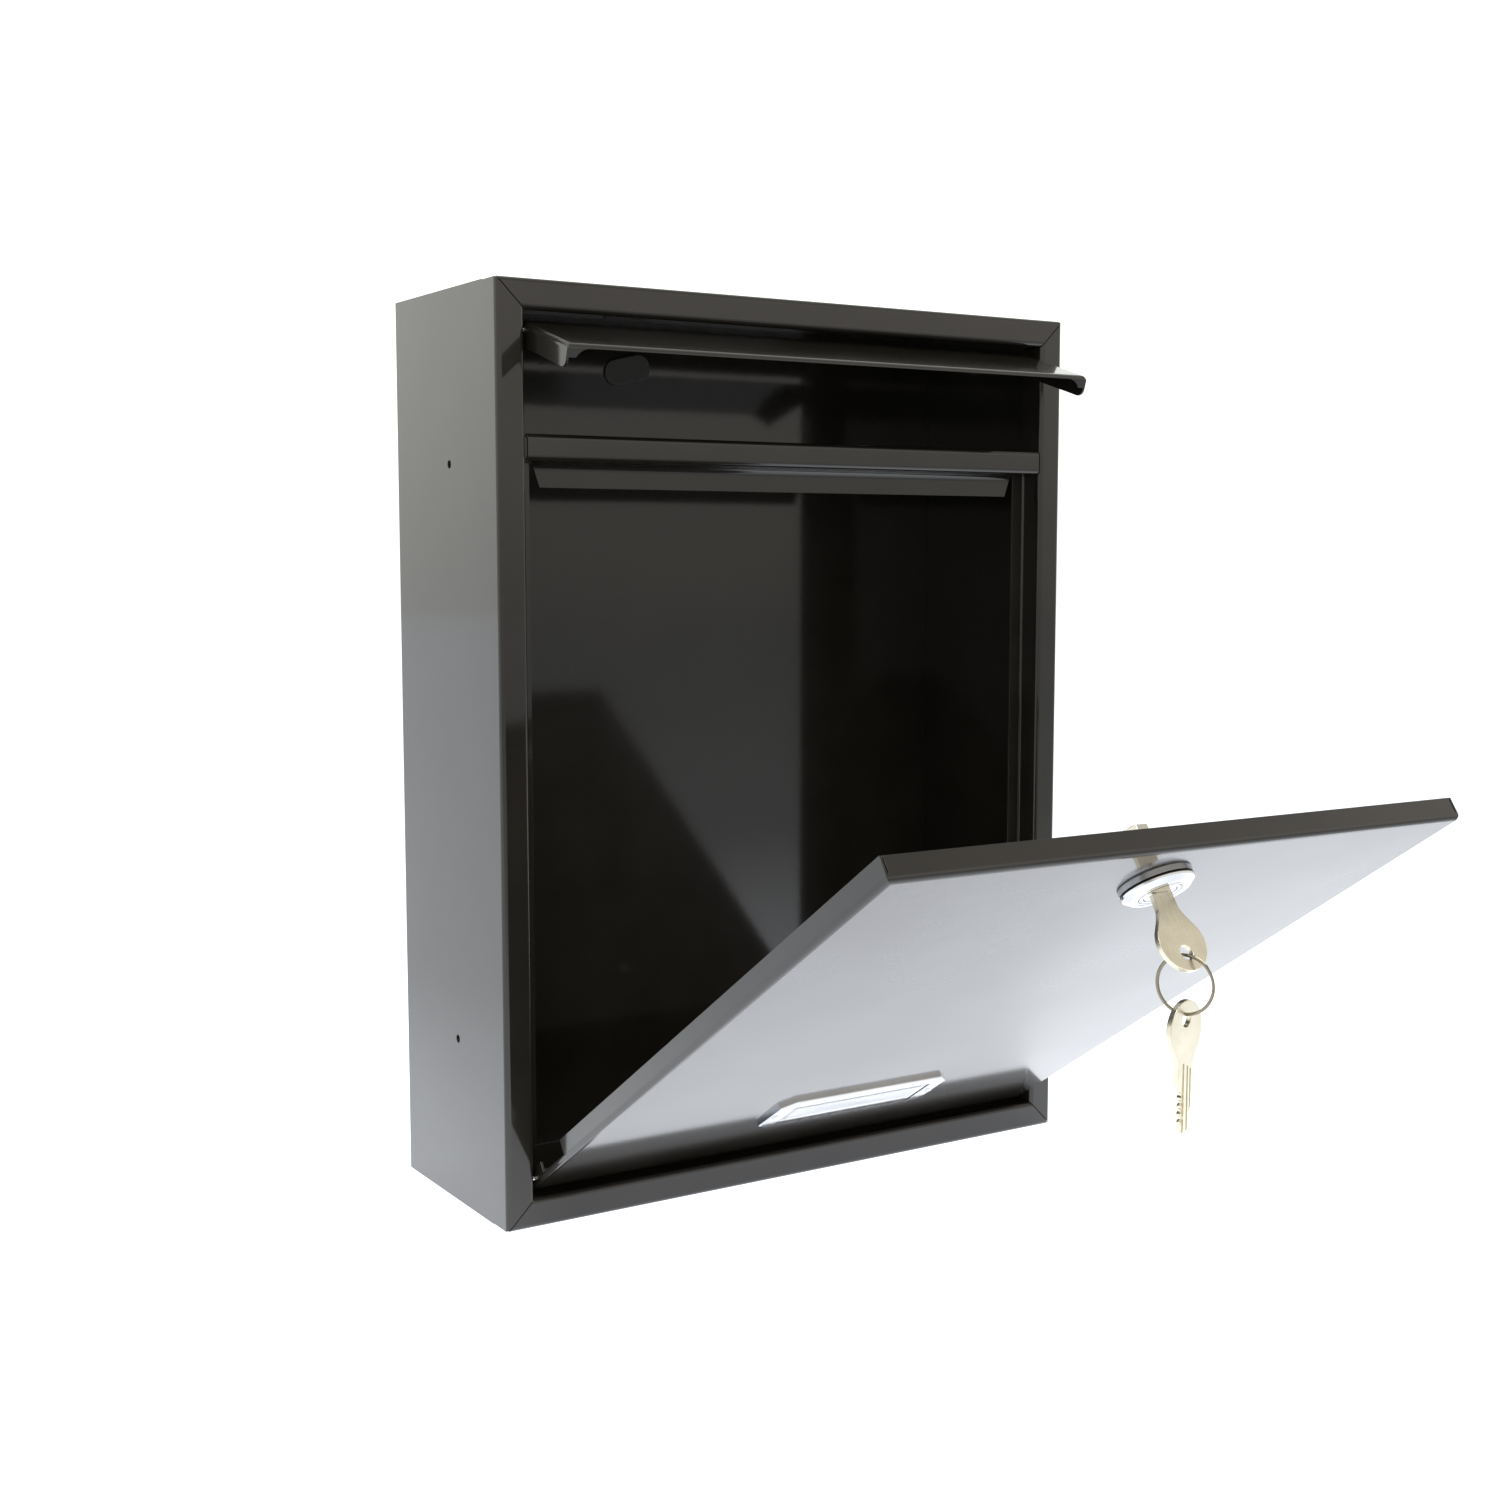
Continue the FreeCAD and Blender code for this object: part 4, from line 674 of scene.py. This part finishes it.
# The window's raised middle in millimetres: half its length and height, and its profile from the foot over
# the rim into the shallow dish, each step an inset and a level.
MIDDLE_HALF_LENGTH = 30.8
MIDDLE_HALF_HEIGHT = 8.3
MIDDLE_CORNER = 0.5
MIDDLE_PROFILE = ((0.0, 0.25), (0.1, 0.75), (0.5, 0.95), (2.0, 0.95), (2.3, 0.8))
PANE_CORNER = 0.4
PANE_HALF_THICKNESS = 0.25


def make_card_window():
    """Clear window whose raised middle stands in the holder's opening."""
    low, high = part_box("card_window")
    half_x = (high.x - low.x) / 2 / MM
    half_y = Vector((high.y - low.y, high.z - low.z)).length / 2 / MM
    levels = [(half_x, half_y, PANE_CORNER, -PANE_HALF_THICKNESS),
              (half_x, half_y, PANE_CORNER, PANE_HALF_THICKNESS)]
    for inset, level in MIDDLE_PROFILE:
        levels.append((MIDDLE_HALF_LENGTH - inset, MIDDLE_HALF_HEIGHT - inset, MIDDLE_CORNER, level))
    mesh = stepped_block("card_window_clear", levels)
    place = frame_matrix((low + high) / 2, RIGHT, OUTWARD)
    window = add_piece("card_window_clear", mesh, CLEAR, "door", place)
    shade(window)
    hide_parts("card_window")


make_card_window()


# ---------------------------------------------------------------- stage, light and camera


FLOOR_HALF_SIZE = 6.0
FLOOR_GAP = 0.0005


def make_floor():
    """A pale floor just below the mailbox. It glows, most near the mailbox and least far in front of it."""
    size = FLOOR_HALF_SIZE
    level = cad_bounds[0].z - FLOOR_GAP
    mesh = bpy.data.meshes.new("floor")
    corners = [(-size, -size, level), (size, -size, level), (size, size, level), (-size, size, level)]
    mesh.from_pydata(corners, [], [(0, 1, 2, 3)])
    floor = bpy.data.objects.new("floor", mesh)
    bpy.context.scene.collection.objects.link(floor)
    material, tree, shader = start_material("pale_floor")
    shader.inputs["Base Color"].default_value = (0.46, 0.48, 0.52, 1)
    shader.inputs["Roughness"].default_value = 0.6
    shader.inputs["Emission Color"].default_value = (0.91, 0.94, 1.0, 1)
    place = tree.nodes.new("ShaderNodeTexCoord")
    split = tree.nodes.new("ShaderNodeSeparateXYZ")
    tree.links.new(place.outputs["Object"], split.inputs["Vector"])
    reach = tree.nodes.new("ShaderNodeVectorMath")
    reach.operation = "DISTANCE"
    reach.inputs[1].default_value = (0.08, -0.05, level)
    tree.links.new(place.outputs["Object"], reach.inputs[0])
    pool = map_range(tree, reach.outputs["Value"], low=0.12, high=0.55, to_low=1.45, to_high=0.75)
    front = map_range(tree, split.outputs["Y"], low=-0.75, high=-0.36, to_low=0.15, to_high=1.0)
    tree.links.new(multiply(tree, pool, front), shader.inputs["Emission Strength"])
    mesh.materials.append(material)


def make_world():
    """Studio surround: white paper behind the mailbox, a dimmer room in front of it and above."""
    world = bpy.data.worlds.new("studio")
    world.use_nodes = True
    bpy.context.scene.world = world
    tree = world.node_tree
    background = tree.nodes["Background"]
    place = tree.nodes.new("ShaderNodeTexCoord")
    split = tree.nodes.new("ShaderNodeSeparateXYZ")
    tree.links.new(place.outputs["Generated"], split.inputs["Vector"])
    height = split.outputs["Z"]
    behind = map_range(tree, height, low=-0.06, high=0.14, to_low=1.08, to_high=1.5)
    ahead = map_range(tree, height, low=-0.12, high=0.14, to_low=0.5, to_high=1.1)
    side = map_range(tree, split.outputs["Y"], low=-0.45, high=0.1, to_low=0.0, to_high=1.0)
    brightness = tree.nodes.new("ShaderNodeMix")
    tree.links.new(side, brightness.inputs["Factor"])
    tree.links.new(ahead, brightness.inputs["A"])
    tree.links.new(behind, brightness.inputs["B"])
    tint = blend_colours(tree, side, (1.0, 0.95, 0.88), (0.98, 1.0, 0.95))
    tree.links.new(tint, background.inputs["Color"])
    ceiling = map_range(tree, height, low=0.35, high=0.75, to_low=1.0, to_high=0.5)
    strength = multiply(tree, brightness.outputs["Result"], ceiling)
    tree.links.new(strength, background.inputs["Strength"])


def add_softbox(name, place, aim, size, power):
    """A rectangular soft light pointed at a place."""
    light = bpy.data.lights.new(name, "AREA")
    light.shape = "RECTANGLE"
    light.size, light.size_y = size
    light.energy = power
    lamp = bpy.data.objects.new(name, light)
    bpy.context.scene.collection.objects.link(lamp)
    lamp.location = place
    lamp.rotation_euler = (Vector(aim) - Vector(place)).to_track_quat("-Z", "Y").to_euler()


CAMERA_PLACE = (-0.4159, -0.7132, 0.0751)
CAMERA_TILT = math.radians(84.18)
CAMERA_TURN = math.radians(-32.16)
CAMERA_LENS = 46.59


def make_camera():
    """The viewpoint: left of the mailbox and a little above its middle."""
    camera = bpy.data.cameras.new("camera")
    camera.sensor_width = 36
    camera.lens = CAMERA_LENS
    camera.clip_start = 0.01
    eye = bpy.data.objects.new("camera", camera)
    bpy.context.scene.collection.objects.link(eye)
    eye.location = CAMERA_PLACE
    eye.rotation_euler = Euler((CAMERA_TILT, 0, CAMERA_TURN))
    bpy.context.scene.camera = eye


make_floor()
make_world()
add_softbox("key_light", place=(-0.25, -0.75, 1.4), aim=(0, -0.1, 0), size=(0.9, 0.9), power=15)
make_camera()

view_settings = bpy.context.scene.view_settings
view_settings.view_transform = "Standard"
view_settings.look = "None"
